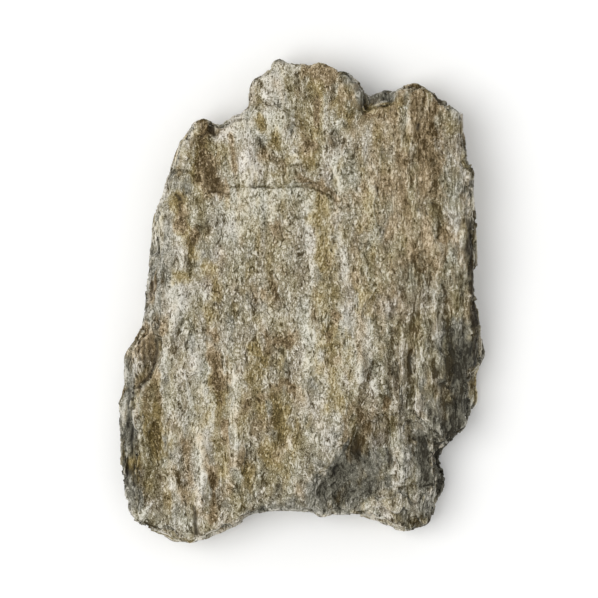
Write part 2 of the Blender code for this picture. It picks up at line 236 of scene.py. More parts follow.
def plates(x, y, z, seed):
    values = []
    for point in seeded(x, y, z, seed):
        centre = noise.voronoi(point)[1][0]
        slope = noise.cell_vector(centre * 37.0)
        lean = sum((slope[k] - 0.5) * (point[k] - centre[k]) for k in range(3))
        values.append(2.0 * noise.cell(centre * 53.0) - 1.0 + 1.2 * lean)
    return np.array(values)


def smooth(share):
    share = np.clip(share, 0.0, 1.0)
    return share * share * (3.0 - 2.0 * share)


# how much the lineation leans, at places across the slab
LEAN_AT = ((-48.0, 0.18), (-25.0, 0.05), (0.0, -0.07), (15.0, -0.08), (32.0, -0.02), (48.0, 0.02))


def lineation(x, y):
    return x - np.interp(x, *zip(*LEAN_AT)) * y


print("heights of three chips:", plates(np.arange(3.0), 0.0, 0.0, 0.0).round(2).tolist())

# %% [markdown]
# ## Reaching the skin's points
# The sculpting works on all points at once, as arrays of millimetres: read the places and the
# normals, work out how far each point should go, and put them back.

# %% Read and move the skin
def read(collection, name, width=3):
    values = np.empty(len(collection) * width)
    collection.foreach_get(name, values)
    return values.reshape(-1, width)


def skin_places():
    return read(rock.data.vertices, "co") / MM


def skin_normals():
    return read(rock.data.vertex_normals, "vector")


def move_skin(places):
    rock.data.vertices.foreach_set("co", (places * MM).ravel())
    rock.data.update()


def print_range(name, values):
    print(name, "from", round(float(values.min()), 2), "to", round(float(values.max()), 2), "mm")


low_corner, high_corner = (np.array(corner) / MM for corner in cad_box)
print("skin spans, mm:", np.ptp(skin_places(), axis=0).round(1).tolist())

# %% [markdown]
# ## Thin sheets on the broken sides
# Where the slab is broken across, its sheets show edge on, as a stack of thin ledges that run along
# the side. They are chips that are long in the plane of the slab and thin across it. Many are
# broken back, some by almost two millimetres, and none comes far out, so the slab keeps its
# outline. A Displace modifier can't tell a side from a face, so each point's way is worked out here.

# %% Sheets on the sides
SHEET_DIP = (0.030, -0.018)
SWELL, SWELL_WIDTH, SWELL_HEIGHT = 0.8, 26.0, 40.0
SHEETS = ((10.0, 1.7, 0.42), (5.0, 0.8, 0.26))   # length, thickness, and how far back or out
SET_OUT, FURTHEST_OUT = 0.2, 0.38
UPWARD_SHARE = 0.15

places, normals = skin_places(), skin_normals()
x, y, z = places.T
facing = np.hypot(normals[:, 0], normals[:, 1])
side = smooth((facing - 0.35) / 0.45)
swell = wave(x / SWELL_WIDTH, y / SWELL_WIDTH, z / SWELL_HEIGHT, 5.0)
level = z + SHEET_DIP[0] * x + SHEET_DIP[1] * y + SWELL * swell
sheets = np.zeros(len(x))
for number, (length, thickness, depth) in enumerate(SHEETS):
    sheets += depth * plates(x / length, y / length, level / thickness, 7.0 + 6.0 * number)
sheets = np.minimum(sheets + SET_OUT, FURTHEST_OUT)
outward = normals * np.array([1.0, 1.0, UPWARD_SHARE])
move_skin(places + outward * (side * sheets)[:, None])
print_range("sheet edges", side * sheets)

# %% [markdown]
# ## Grooves and flakes on the faces
# The face of a sheet is not flat. Stretched grains leave narrow grooves and ridges along the slab,
# thin flakes end in steps a fraction of a millimetre high, and single grains stand out. Each size
# has its own layer, from wide to fine. The right half and the wide end are worn deeper. Sculpting
# by hand would look as good, but noise comes out the same on each run.

# %% Grooves, flakes and grains
# width, length and height of each layer
GROOVES = ((2.8, 14.0, 0.24), (1.5, 6.0, 0.15))
FLAKES = ((3.4, 9.0, 0.10), (1.6, 3.6, 0.09))
GRAINS = ((1.1, 1.7, 0.09), (0.66, 0.95, 0.17))

places, normals = skin_places(), skin_normals()
x, y, z = places.T
across = lineation(x, y)
face = smooth((np.abs(normals[:, 2]) - 0.25) / 0.4)
worn = 0.75 + 0.35 * smooth((x - 18.0) / 10.0) + 0.15 * smooth((-10.0 - y) / 16.0)
relief = np.zeros(len(x))
for number, (width, length, height) in enumerate(GROOVES):
    relief += worn * height * wave(across / width, y / length, z / width, 19.0 + 3.0 * number)
for number, (width, length, height) in enumerate(FLAKES):
    chips = plates(across / width, y / length, z / (2.0 * width), 29.0 + 3.0 * number)
    relief += face * worn * height * chips
relief *= 0.4 + 0.6 * face
for number, (width, length, height) in enumerate(GRAINS):
    relief += height * wave(across / width, y / length, z / width, 37.0 + 3.0 * number)
move_skin(places + normals * relief[:, None])
print_range("relief", relief)

# %% [markdown]
# ## Marks of the slab
# Noise alone would make any piece of this stone. What makes it this slab are its own marks: slits
# between the sheets, worn furrows and ridges, cracks, pits, laths of pale stone, and stains. Each
# mark has its kind of stone, its half width in millimetres, its height (below zero for a furrow or
# a crack, 0 for a stain), its strength from 0 to 1, and the points of its line. Furrows are darkened,
# with dirt and with painted shade, and ridges are made pale, partly as a painted highlight on their
# side towards the lamp, so one mark shapes the skin and also colours it. Dark marks paint the shadow
# in slits, notches and under rims, and shade marks paint the shade in furrows, in hollows and on
# slopes that turn away from the lamp. The lists follow, from the top end of the slab to the bottom.

# %% Kinds of marks
KINDS = {
    "ochre": "iron stain in a furrow",
    "brown": "brown mica and dirt",
    "fresh": "grey stone of a late break",
    # pale also paints highlights on ridge sides and knobs that face the lamp
    "pale": "feldspar and quartz, rubbed clean",
    # dark also paints the shadow in slits, notches, crevices and under rims
    "dark": "dirt in a crack or a pit",
    # shade mostly paints shade: in furrows, in hollows and on slopes that turn away from the lamp
    "shade": "stone that is darker than what is around it",
}
print("kinds of marks:", list(KINDS))

# %% [markdown]
# ## Marks on the tab
# The tab at the top end is a higher sheet. Its right side is soaked with ochre, its left side is a
# group of pale lumps, and a dark cap sits on its highest point.

# %% Marks on the tab
TOP = (
    ("ochre", 1.7, 0, 0.9, (2.4, 62.5), (6.5, 62)),
    ("ochre", 1.5, 0, 0.9, (4, 60), (4, 56)),
    ("ochre", 1.5, -0.3, 0.9, (4, 55), (4, 49), (2.6, 44), (1.4, 39.5)),
    ("brown", 1.8, 0, 0.9, (3, 61.5), (7.6, 60.5)),
    ("brown", 0.6, -0.2, 0.8, (4.3, 53.5), (3.6, 47)),
    ("dark", 0.9, 0, 1, (-6.6, 64.7), (-5.4, 64.7)),
    ("shade", 0.9, -0.4, 0.9, (-11.6, 59.8), (-11, 58)),
    ("shade", 0.8, -0.3, 0.4, (-10.8, 53.6), (-7.6, 52.6), (-5, 52.2)),
    ("fresh", 1.5, -0.2, 0.5, (-4.2, 50.8), (-3, 47)),
    ("shade", 0.6, -0.4, 0.5, (-4.4, 51.5), (-3.8, 49.5), (-3.4, 47)),
    ("shade", 1, -0.2, 0.3, (-0.3, 50.5), (-0.4, 47.5)),
    ("pale", 1.3, 0.3, 0.8, (-9.6, 61), (-9.4, 54.5)),
    ("pale", 1, 0.3, 0.9, (-5.8, 56), (-5.9, 53.5)),
    ("pale", 1.6, 0, 0.4, (-7, 63), (-5, 61)),
    ("brown", 0.6, -0.2, 0.7, (-1.8, 57.6), (-1.7, 55.5)),
    ("pale", 0.7, 0.2, 0.8, (9.5, 57.6), (9.5, 55.8)),
    ("shade", 0.6, -0.2, 0.7, (8.4, 57.3), (8, 54.6)),
    ("ochre", 1.1, 0, 0.8, (10.9, 55), (10.6, 50.5)),
    ("fresh", 1.5, 0, 0.9, (12, 61), (14.5, 57), (16.8, 54.5)),
    ("dark", 0.4, -0.5, 0.8, (13.6, 60), (15, 56.5)),
    ("dark", 0.4, -0.5, 0.8, (15.2, 58), (16.4, 54.6)),
    ("pale", 0.35, 0.3, 0.5, (14.2, 58.6), (15.6, 55.4)),
    ("pale", 0.9, 0.3, 0.6, (6, 54.5), (5.6, 49), (6.8, 45.5)),
    ("pale", 1.4, 0, 0.6, (-5.4, 60), (-4.8, 56)),
)
print(len(TOP), "marks")

# %% [markdown]
# ## Marks on the right shoulder
# Between the tab and the right shoulder the stone has broken away, and dark fresh stone shows, with
# a painted shadow in the notch beside the tab. A lens of ochre lies below the break, with a pale vein
# beside a long brown streak.

# %% Marks on the right shoulder
SHOULDER = (
    ("dark", 1, -1, 0.8, (16.8, 53.6), (16.2, 51.2)),
    ("fresh", 2, 0, 1, (20, 55.8), (24, 54.6)),
    ("shade", 1, -0.4, 0.3, (22.4, 56.2), (23.4, 53.4)),
    ("ochre", 1.3, 0.2, 1, (18.4, 51.2), (23.6, 51.5)),
    ("brown", 0.4, -0.4, 1, (16.6, 49.8), (20.5, 49.7), (25, 47.8)),
    ("shade", 0.8, -0.3, 0.7, (13.6, 50.8), (13.2, 49.8)),
    ("pale", 0.6, 0.6, 0.8, (27.9, 51.6), (28.4, 48.4), (29.2, 45.6)),
    ("pale", 0.4, 0.3, 0.7, (26.8, 44), (26.3, 39.4)),
    ("brown", 2.3, 0, 1, (31, 56.5), (31.6, 50), (33, 44), (33.2, 31)),
    ("brown", 1.8, 0, 0.9, (29, 38.5), (26.5, 37)),
    ("dark", 0.6, -0.5, 1, (31.3, 47.2), (31.1, 45.8)),
    ("shade", 0.9, -0.5, 0.8, (35.6, 47.4), (35.7, 45.4)),
    ("shade", 0.8, -0.3, 0.8, (32.8, 42.2), (32.9, 40.8)),
    ("shade", 1.3, -0.4, 1, (33.2, 57.8), (35.6, 56)),
    ("shade", 1.1, 0, 0.6, (41.4, 51), (42.3, 45.5), (43, 42)),
    ("fresh", 1.4, 0, 0.6, (39, 53.5), (42.5, 49)),
    ("shade", 1.2, 0, 0.9, (44.6, 36.6), (45.6, 34.6)),
    ("shade", 0.9, -0.5, 0.6, (36.4, 25.4), (36.8, 20)),
    ("brown", 1, -0.3, 0.9, (37, 19.5), (37.6, 16.5)),
    ("dark", 0.4, -0.4, 0.9, (31, 24.6), (31.3, 24.2)),
    ("dark", 0.35, -0.4, 0.9, (33.4, 23.5), (33.6, 23)),
    ("dark", 0.35, -0.3, 0.7, (34.6, 26.1), (34.9, 25.8)),
    ("pale", 0.7, 0.3, 0.8, (32, 22.6), (34.6, 19), (35.2, 15)),
    ("brown", 1.2, -0.4, 1, (34.2, 10.5), (33, 8.6)),
    ("shade", 1.2, -0.2, 0.45, (27, 6.5), (28.4, 4.6), (31.2, 4.8)),
    ("brown", 2.2, 0, 0.6, (31, 27), (33, 20), (34, 12)),
    ("ochre", 1.6, 0, 0.7, (20, 46), (20, 42)),
    ("brown", 2.4, 0, 1, (32, 53), (32.4, 46)),
    ("shade", 1.5, -0.2, 0.6, (29, 57), (30, 55)),
    ("shade", 1.2, -0.2, 0.6, (37, 51.5), (37.2, 48.5)),
)
print(len(SHOULDER), "marks")

# %% [markdown]
# ## Marks on the upper face
# The upper face is the oldest surface. Its furrows hold ochre, its ridges are rubbed pale, and a low
# step runs across it, with thin painted shadows along its edges. The wall of the recess that faces the
# lamp is painted pale as a highlight.

# %% Marks on the upper face
FACE = (
    # painted highlight: the wall of the recess that faces the lamp
    ("pale", 1, 0.4, 1, (8.4, 37.6), (9.2, 34), (10, 30), (9.6, 27.5)),
    ("pale", 1.1, 0, 0.7, (12.4, 44), (12.6, 42.6)),
    ("shade", 1.4, -0.4, 0.8, (8.6, 45), (9.6, 42.6)),
    ("brown", 0.8, -0.2, 0.7, (1.5, 42), (4.2, 41.4)),
    ("shade", 0.6, -0.3, 0.5, (-5.6, 36.2), (-0.6, 36.4), (4.2, 36.4)),
    ("brown", 1.3, -0.4, 0.6, (-10, 39.4), (-5.6, 36.8)),
    ("shade", 1.2, 0, 0.45, (-10, 39.4), (-5.6, 36.8)),
    ("shade", 0.9, -0.4, 0.6, (-12, 43.2), (-10.4, 40.4)),
    ("ochre", 0.9, -0.4, 0.9, (-7.6, 44.5), (-6.6, 41)),
    ("shade", 0.8, 0, 0.5, (-7.6, 44.5), (-6.6, 41)),
    ("ochre", 0.7, -0.4, 1, (-11.4, 48.4), (-10, 46.2)),
    ("shade", 0.7, 0, 0.6, (-11.4, 48.4), (-10, 46.2)),
    # painted shadow along the low step
    ("shade", 0.3, -0.5, 0.5, (-19, 30.6), (-6.2, 30.2), (0.6, 30.6), (6.6, 28.6), (9.6, 26.2)),
    ("brown", 0.7, -0.3, 0.8, (-0.6, 32.8), (3, 31.2), (8, 29.4), (9, 27.2)),
    ("pale", 1.8, 0.2, 0.6, (-15.5, 49), (-5.5, 49.6)),
    ("pale", 1, 0.2, 0.6, (-2.4, 40), (-1.6, 37.6)),
    ("pale", 1.4, 0.3, 1, (-14.4, 39.5), (-14.6, 25)),
    ("pale", 2.8, 0.3, 0.8, (-17, 28), (-17.4, 19.5)),
    ("pale", 1.4, 0, 0.8, (-20, 26.5), (-18.6, 16.5)),
    ("pale", 1.2, 0.2, 0.6, (-8, 28.5), (-8.2, 21.5)),
    ("shade", 0.5, -0.3, 0.5, (-12.4, 30.6), (-9.4, 30.2), (-4.6, 31)),
    ("brown", 0.5, -0.4, 0.7, (-19.2, 44.5), (-18.4, 38), (-17.2, 28)),
    ("ochre", 1.4, -0.3, 1, (5, 27.5), (5.4, 20), (6.4, 9)),
    ("brown", 1, -0.2, 0.7, (6.6, 11.6), (7, 9.6)),
    ("ochre", 1.7, 0, 0.5, (7, 5), (7.2, -2)),
    ("pale", 1.3, 0.3, 0.5, (1.4, 23), (2, 13), (2.6, 5), (1.2, -2)),
    ("pale", 1.2, 0.3, 0.7, (9.2, 24.5), (10.2, 18), (11.6, 11), (11.6, 5)),
    ("ochre", 2.2, 0, 0.6, (18.4, 28), (17.2, 22)),
    ("ochre", 1.6, 0, 0.5, (20, 34), (22, 31)),
    ("shade", 0.4, -0.2, 0.5, (19.2, 33.8), (19.6, 33)),
    ("dark", 0.4, -0.3, 0.7, (19.6, 30.4), (20.3, 29.4)),
    ("pale", 0.8, 0.4, 1, (24, 26.8), (24.1, 24.4)),
    ("pale", 0.6, 0.3, 0.6, (24.2, 35.6), (24.2, 32)),
    ("brown", 1.5, -0.4, 0.9, (-6.6, 19.4), (-5.6, 17)),
    ("brown", 1.4, -0.4, 0.9, (-7.2, 4.4), (-6.8, 1)),
    ("shade", 1.1, 0, 0.7, (-7.4, 2.2), (-6.6, 1.2)),
    ("shade", 0.8, 0, 0.3, (-1, 14.6), (-0.4, 10), (0.2, 8.6)),
    ("ochre", 1.2, 0, 0.4, (-5, 26), (-4.2, 22.5)),
    ("ochre", 0.9, 0, 0.7, (-13.9, 9.6), (-13.7, 7.2)),
    ("ochre", 0.8, 0, 0.6, (-16.4, 12), (-16.2, 9.6)),
    ("ochre", 0.8, -0.2, 0.8, (-23.2, 4.6), (-23, 0.6)),
    ("ochre", 1, 0, 0.9, (-26.2, 9.4), (-25.4, 8.2)),
    ("ochre", 0.9, -0.2, 0.7, (-18, -1), (-18.4, -3.4)),
    ("ochre", 1.2, -0.2, 0.7, (-25.2, -1.6), (-24.6, -4.2)),
    ("shade", 0.8, -0.3, 0.7, (-12.6, 0.4), (-12.4, -3.4)),
    ("pale", 0.9, 0, 0.4, (-14.6, 13.4), (-13.6, 11)),
    ("pale", 1.4, 0.2, 1, (-7.2, 32.4), (-7, 29)),
    ("pale", 1.4, 0, 0.25, (2, 24), (2.2, 20)),
    ("pale", 1.4, 0, 0.7, (-11, 2), (-11, -2)),
    ("pale", 1.5, 0, 0.5, (4, 3), (4.2, -1)),
    ("ochre", 1.2, 0, 0.8, (6, 8), (6.2, 4.6)),
)
print(len(FACE), "marks")

# %% [markdown]
# ## Marks on the upper left
# A knob with a crevice beside it stands at the upper left, and a deep olive valley runs down from
# it. The shade on the knob's right side, away from the lamp, the dark of the crevice and the shade in
# the valley are painted shade. Short ledges of the flank follow below.

# %% Marks on the upper left
UPPER_LEFT = (
    ("brown", 1.6, 0, 0.9, (-26.6, 47), (-25.6, 45.6)),
    ("shade", 1.6, 0, 0.6, (-26.6, 47), (-25.6, 45.6)),
    ("dark", 0.8, -0.7, 0.9, (-24.4, 46.8), (-23.9, 44.4)),
    ("ochre", 1.6, -0.3, 1, (-27.8, 43.6), (-27.4, 40), (-26.2, 36.6)),
    ("shade", 1.7, 0, 0.7, (-27.8, 43.4), (-27.4, 40), (-26.4, 37)),
    ("shade", 2, 0.3, 0.65, (-24.4, 35.6), (-24.2, 33), (-23, 30.4)),
    ("brown", 2.2, 0, 1, (-24.4, 36), (-23.2, 30.4)),
    ("dark", 0.3, -0.4, 0.6, (-25, 29.6), (-22, 29), (-19.4, 28.2)),
    ("ochre", 1, 0, 0.8, (-27.6, 33), (-27, 29)),
    ("shade", 0.9, -0.4, 0.6, (-29, 33.4), (-28.2, 32.4)),
    ("shade", 0.7, -0.4, 0.6, (-35.4, 35.2), (-33.2, 33.6), (-30.6, 34.8)),
    ("fresh", 1.9, 0, 0.6, (-35, 32.4), (-31.6, 30.6)),
    ("dark", 0.35, -0.4, 0.9, (-34, 28.4), (-32.4, 27.2)),
    ("ochre", 1.1, -0.2, 1, (-33.2, 27), (-32.6, 22.6), (-31.6, 19)),
    ("brown", 0.9, 0, 1, (-32.4, 22.6), (-31.8, 19.4)),
    ("shade", 1, 0, 0.6, (-33.2, 27), (-32.8, 22.6)),
    ("pale", 0.7, 0, 0.4, (-30.6, 25.4), (-30, 21.6)),
    ("ochre", 0.9, 0, 0.3, (-37.2, 22.5), (-36.8, 19)),
    ("shade", 1, -0.4, 0.9, (-27.8, 19.8), (-27, 19.2)),
    ("shade", 1, -0.4, 0.8, (-25.4, 20.2), (-25.2, 18.2)),
    ("brown", 1, -0.4, 0.9, (-29.2, 17.8), (-29.2, 16)),
    ("ochre", 0.8, -0.4, 0.7, (-29.4, 17), (-30, 6)),
    ("shade", 0.9, 0, 0.6, (-29.4, 16), (-29.8, 8)),
    ("ochre", 1, 0, 1, (-30.6, 6.6), (-32.2, 6.6)),
    ("pale", 0.8, 0.2, 0.9, (-34, 17.2), (-32.8, 16.6)),
    ("pale", 2.1, 0.3, 1, (-33.4, 3), (-33.4, -6)),
    ("pale", 1.2, 0.2, 0.5, (-28.4, 3.2), (-25.6, 0.6)),
    ("pale", 1, 0.2, 0.9, (-29.2, 23.6), (-28.6, 20.6)),
    ("dark", 0.7, -1, 1, (-40.2, 4.6), (-40.8, 0.2)),
    ("brown", 1, 0, 1, (-40.2, 4.6), (-40.8, 0.2)),
    ("shade", 0.6, -0.4, 0.6, (-37, 8), (-37.2, 5)),
    ("shade", 0.6, -0.4, 0.9, (-30.6, -5), (-32.6, -6), (-33.4, -9.4)),
    ("shade", 0.5, -0.3, 0.5, (-30, -6), (-28.4, -8.4)),
    ("brown", 1, -0.4, 1, (-38.4, -5.6), (-38.2, -7.4)),
    ("shade", 1.2, 0, 0.6, (-25.2, 42.6), (-24.8, 39.6)),
    ("fresh", 1.2, 0, 0.6, (-30.4, 46), (-31.2, 43)),
    ("fresh", 1.4, 0, 0.7, (-28, 14.4), (-27.4, 10)),
    ("pale", 1.3, 0, 0.8, (-32.4, 12.6), (-32.4, 9.4)),
    ("shade", 1.2, -0.2, 0.6, (-34.4, -10.6), (-33.8, -14)),
)
print(len(UPPER_LEFT), "marks")

# %% [markdown]
# ## Marks in the left flank
# The left flank shows the sheets edge on. A brown recess has a black slit under its right rim, which
# is a painted shadow, and long slits open between the sheets below it, darkened with painted shadow.

# %% Marks in the left flank
LEFT_FLANK = (
    ("brown", 2.3, 0, 0.8, (-42.6, -9.6), (-41.4, -14), (-42.2, -19), (-42.8, -22)),
    ("shade", 2, 0, 0.3, (-43, -12), (-42, -16), (-42.4, -20)),
    ("dark", 0.4, -0.4, 0.9, (-43.8, -10.6), (-43.4, -16)),
    ("dark", 0.35, -0.3, 0.7, (-42.4, -9.4), (-42.2, -17.6)),
    ("dark", 0.35, -0.3, 0.7, (-40.9, -9), (-40.8, -15.6)),
    ("dark", 0.5, -0.5, 0.9, (-39.2, -10.6), (-38.9, -14), (-39.9, -17.6)),
    ("dark", 0.6, -0.6, 1, (-40.2, -18.6), (-41.3, -21), (-43.6, -23.2)),
    ("pale", 0.4, 0.5, 0.9, (-36.4, -14), (-38, -17.8), (-40.2, -21.2), (-44, -24)),
    ("pale", 0.45, 0.5, 0.9, (-44.1, -24), (-44.2, -28), (-43.5, -39), (-42, -44.2)),
    ("fresh", 2.2, 0, 0.9, (-46.8, -18), (-47.2, -40), (-46.6, -54)),
    ("pale", 1.2, 0, 0.6, (-45.6, -11), (-46.4, -18)),
    ("dark", 0.7, -1.2, 0.9, (-47.3, -42.2), (-47, -45.6), (-47.3, -49.2)),
    ("dark", 0.35, -0.5, 0.8, (-46.4, -24), (-46.9, -34)),
    ("dark", 0.35, -0.5, 0.7, (-45.2, -20), (-45.4, -30)),
    ("dark", 0.35, -0.6, 0.9, (-45.7, -34), (-45.6, -41.6)),
    ("dark", 0.35, -0.6, 0.9, (-45.2, -44.4), (-45, -50)),
    ("shade", 0.5, -0.5, 0.7, (-43.8, -41), (-44, -50)),
    ("shade", 0.5, -0.6, 0.8, (-42.4, -47.6), (-41.6, -53)),
    ("pale", 0.6, 0, 0.8, (-47.8, -51), (-47.4, -54.4)),
    ("pale", 0.5, 0.7, 1, (-43, -58.4), (-40.4, -54.4)),
    ("shade", 1.3, -0.5, 1, (-42, -59.6), (-41, -60.4)),
    ("shade", 0.9, -0.4, 0.7, (-41.4, -47), (-40.2, -48.6)),
    ("ochre", 1, 0.3, 1, (-45.3, -43.6), (-44.8, -48)),
    ("ochre", 0.7, 0, 0.8, (-49, -38), (-49.2, -46)),
)
print(len(LEFT_FLANK), "marks")

# %% [markdown]
# ## Flutes of the lower left
# Below the middle the left part is fluted: pale ridges with ochre and brown furrows between them,
# all along the lineation. Stretched minerals weather out like this. The ridges' pale is partly a
# painted highlight on their side towards the lamp, and the shade in the furrows is painted shade.

# %% Flutes of the lower left
FLUTES = (
    ("ochre", 1.4, -0.5, 0.8, (-39.8, -21.4), (-39.6, -27), (-39, -39.6)),
    ("shade", 1.1, 0, 0.35, (-39.2, -22), (-38.6, -40)),
    ("ochre", 1.1, 0, 0.6, (-41.6, -26), (-41.2, -31)),
    ("shade", 1.2, 0, 0.4, (-41.2, -25), (-41, -33)),
    ("ochre", 1.2, -0.4, 0.35, (-38.6, -46), (-37.6, -55)),
    ("shade", 0.8, -0.3, 0.8, (-38.2, -46.8), (-37.8, -47.6)),
    ("pale", 1.4, 0.3, 0.7, (-36.8, -14), (-37.2, -20)),
    ("pale", 1.2, 0.3, 0.1, (-36, -26), (-35.4, -40)),
    ("pale", 1.1, 0.3, 0.5, (-36, -45), (-34.6, -50)),
    ("pale", 0.6, 0.4, 0.9, (-31.4, -19), (-30.6, -24), (-29.8, -28.6)),
    ("pale", 1.2, 0.3, 0.6, (-28.2, -15), (-28, -21)),
    ("ochre", 1.2, 0, 0.5, (-27, -29), (-26.4, -33)),
    ("pale", 1.4, 0.4, 1, (-27.2, -35), (-26.8, -42), (-27.2, -54)),
    ("brown", 1.2, -0.4, 0.6, (-31.6, -40), (-31.2, -47)),
    ("shade", 1, -0.5, 1, (-33.2, -46.6), (-32.8, -48.6)),
    ("brown", 1.3, -0.3, 0.7, (-31.4, -50), (-29.8, -57)),
    ("dark", 0.5, -0.7, 1, (-29, -55.6), (-28.4, -62.5)),
    ("brown", 1.2, -0.5, 0.9, (-24.2, -14), (-22.8, -18), (-22.2, -23)),
    ("ochre", 1.3, -0.5, 1, (-22.4, -20), (-22, -33)),
    ("shade", 1.1, 0, 0.4, (-24, -15), (-22.4, -18.6), (-22.4, -27.6)),
    ("ochre", 1.9, -0.2, 0.7, (-22.2, -35), (-21.4, -45)),
    ("brown", 0.8, -0.6, 1, (-24.4, -45.6), (-23.8, -50), (-24, -58)),
    ("shade", 0.6, 0, 0.7, (-24.4, -46), (-23.9, -53)),
    ("pale", 1, 0.5, 1, (-18.6, -18), (-18, -28), (-17.5, -39)),
    ("pale", 0.9, 0.2, 0.5, (-18, -41), (-18.4, -46)),
    ("brown", 1.5, -0.3, 0.6, (-14.4, -28), (-13, -36)),
    ("brown", 1, -0.2, 0.5, (-13.6, -27.6), (-9.4, -26)),
    ("ochre", 1.4, -0.1, 0.7, (-15.2, -44.5), (-14.4, -49)),
    ("shade", 1, -0.4, 0.7, (-16.6, -50), (-15.4, -56)),
    ("shade", 0.9, -0.2, 0.6, (-11.2, -46.5), (-10, -49)),
    ("ochre", 1.9, -0.3, 1, (-6.8, -26.6), (-6, -33.4)),
    ("shade", 1.5, 0, 0.6, (-6.8, -27.4), (-6.2, -31.6)),
    ("shade", 0.9, -0.3, 0.8, (-6.2, -36.2), (-5.8, -38)),
    ("ochre", 1.6, -0.2, 1, (-8.4, -39.5), (-6.8, -43.6)),
    ("pale", 0.5, 0.5, 1, (-3.6, -36.4), (-2.8, -39.8)),
    ("ochre", 0.8, -0.2, 1, (-13.4, -12.6), (-11, -14.8), (-9.8, -17)),
    ("brown", 1.4, -0.4, 0.9, (-7, -10.4), (-3.8, -11)),
    ("shade", 1.1, 0, 0.3, (-6.2, -10.6), (-3.8, -11.2)),
    ("brown", 1.2, -0.2, 1, (-4.2, -21.6), (-2.6, -23.2)),
    ("shade", 1.1, 0, 0.8, (-4.2, -21.6), (-2.6, -23.2)),
    ("brown", 0.8, -0.3, 0.6, (-24.4, -8.6), (-22.8, -10)),
    ("ochre", 1, -0.2, 0.5, (-14, -20), (-12.4, -23.6)),
    ("ochre", 1.3, -0.2, 0.9, (-10.4, -28.4), (-9.8, -32)),
    ("brown", 1.2, -0.2, 0.8, (-21, -33.6), (-20.6, -37.6)),
    ("fresh", 1.3, 0, 0.6, (-37, -37), (-36.8, -41)),
)
print(len(FLUTES), "marks")

# %% [markdown]
# ## Marks in the middle
# The middle has a long ochre furrow, a few pale lumps of quartz, lightened in part as painted
# highlight where they face the lamp, and a furrow with painted shade.

# %% Marks in the middle
MIDDLE = (
    ("ochre", 1.5, -0.3, 0.9, (7.2, -8.6), (8, -14), (8.4, -22), (9.6, -27)),
    ("brown", 0.8, -0.3, 0.9, (9, -3.4), (9.4, -4.6)),
    ("brown", 0.7, 0, 0.6, (6.6, -9), (7.6, -10)),
    ("brown", 0.8, 0, 0.5, (8, -14.4), (8.6, -16)),
    ("ochre", 1.4, 0, 1, (17.4, 1), (17.6, -3.4)),
    ("pale", 1.6, 0.2, 0.8, (10.8, -2), (12.4, -6.4)),
    ("pale", 1.7, 0.2, 0.7, (1.4, -8), (2.6, -12)),
    ("pale", 1.5, 0.4, 1, (1.4, -15.8), (1.8, -17.8)),
    ("pale", 1, 0.2, 0.7, (1.6, -36), (3.2, -37.6)),
    ("pale", 1, 0.2, 0.8, (3.4, -43), (4.6, -45.2)),
    ("pale", 1.2, 0.2, 1, (7.6, -36.5), (9.6, -40.6)),
    ("pale", 0.8, 0.2, 0.5, (9.4, -31.6), (9.8, -34)),
    # painted highlights on knobs that face the lamp
    ("pale", 1.4, 0.4, 1, (15.4, -16.4), (15.6, -21.4)),
    ("pale", 1, 0.5, 1, (18.8, -22), (19.6, -24.8)),
    ("shade", 0.9, -0.4, 0.6, (19.8, -16), (17, -22.4), (15.8, -28)),
    ("pale", 1.4, 0, 0.4, (18, -9), (17, -13)),
    ("pale", 1.4, 0.2, 1, (19, -3), (19.2, -7.4)),
    ("pale", 1.3, 0, 0.5, (5, -16.4), (5.2, -20)),
)
print(len(MIDDLE), "marks")

# %% [markdown]
# ## Marks on the right half
# On the right half the stone is worn across its sheets. A long crack and narrow flutes run down it
# and end at a cross crack, with painted shade in their furrows, and the slope at the edge is fresh
# grey stone. The slope and the bevel along the right edge turn away from the lamp and carry painted
# shade.

# %% Marks on the right half
RIGHT_HALF = (
    ("shade", 0.5, -0.4, 0.35, (19.8, 0.6), (20.2, -5), (21, -10.4)),
    ("shade", 0.9, -0.4, 0.7, (26.4, -3.6), (25.4, -8.6)),
    ("shade", 0.9, -0.6, 0.8, (24.2, -8), (24, -14), (23.4, -19), (23.4, -26.4)),
    ("shade", 0.8, -0.6, 0.45, (25.2, -18), (25.7, -26)),
    ("shade", 1, -0.4, 0.7, (29.6, -4), (29.6, -8.4)),
    ("shade", 1, -0.7, 0.75, (28.9, -14), (28.5, -28)),
    ("pale", 0.6, 0.5, 0.2, (26.4, -10), (26.8, -19), (27, -27)),
    ("pale", 0.8, 0.2, 0.6, (21.8, -5.6), (22.4, -8.6)),
    ("brown", 0.7, -0.4, 0.9, (22.6, -27), (22.2, -28.6)),
    ("shade", 0.6, -0.2, 0.15, (18.4, -30.6), (24, -30.8), (29.4, -29.6)),
    ("shade", 0.8, -0.5, 1, (35.2, -16.4), (35.3, -20.6)),
    ("fresh", 3.2, 0, 0.6, (37.4, -12), (36.4, -24), (35.6, -34)),
    # painted shade on the right slope, which falls away from the lamp
    ("shade", 1.5, -0.5, 0.7, (38.4, -1), (40.2, -12), (40.4, -22), (38.4, -36)),
    ("fresh", 3, 0, 1, (42.4, -8), (42.6, -30), (39, -37)),
    ("shade", 2.4, 0, 0.45, (43.4, -18), (43.2, -30), (40.6, -35)),
    # painted shade along the bevel of the right edge, which faces away from the lamp
    ("shade", 1.5, 0, 1, (45, 21), (45.2, 12), (46.2, 3), (46.8, -6), (46.6, -17)),
    ("dark", 1.1, 0, 1, (45, 21), (45.2, 12), (46.2, 3), (46.8, -6), (46.6, -17)),
    ("pale", 0.6, 0, 0.7, (47.3, 13), (47.5, 5)),
    ("ochre", 0.8, 0, 0.8, (46.6, -19.4), (46.8, -27)),
    ("fresh", 2.4, 0, 0.35, (41.8, 34), (41.6, 2)),
    ("shade", 1, -0.3, 0.9, (24.2, 0), (23.8, -4.4)),
    ("shade", 1.2, -0.3, 0.7, (34, -6), (34, -10.4)),
    ("shade", 1, -0.3, 0.6, (21, -25.6), (21, -28.6)),
)
print(len(RIGHT_HALF), "marks")
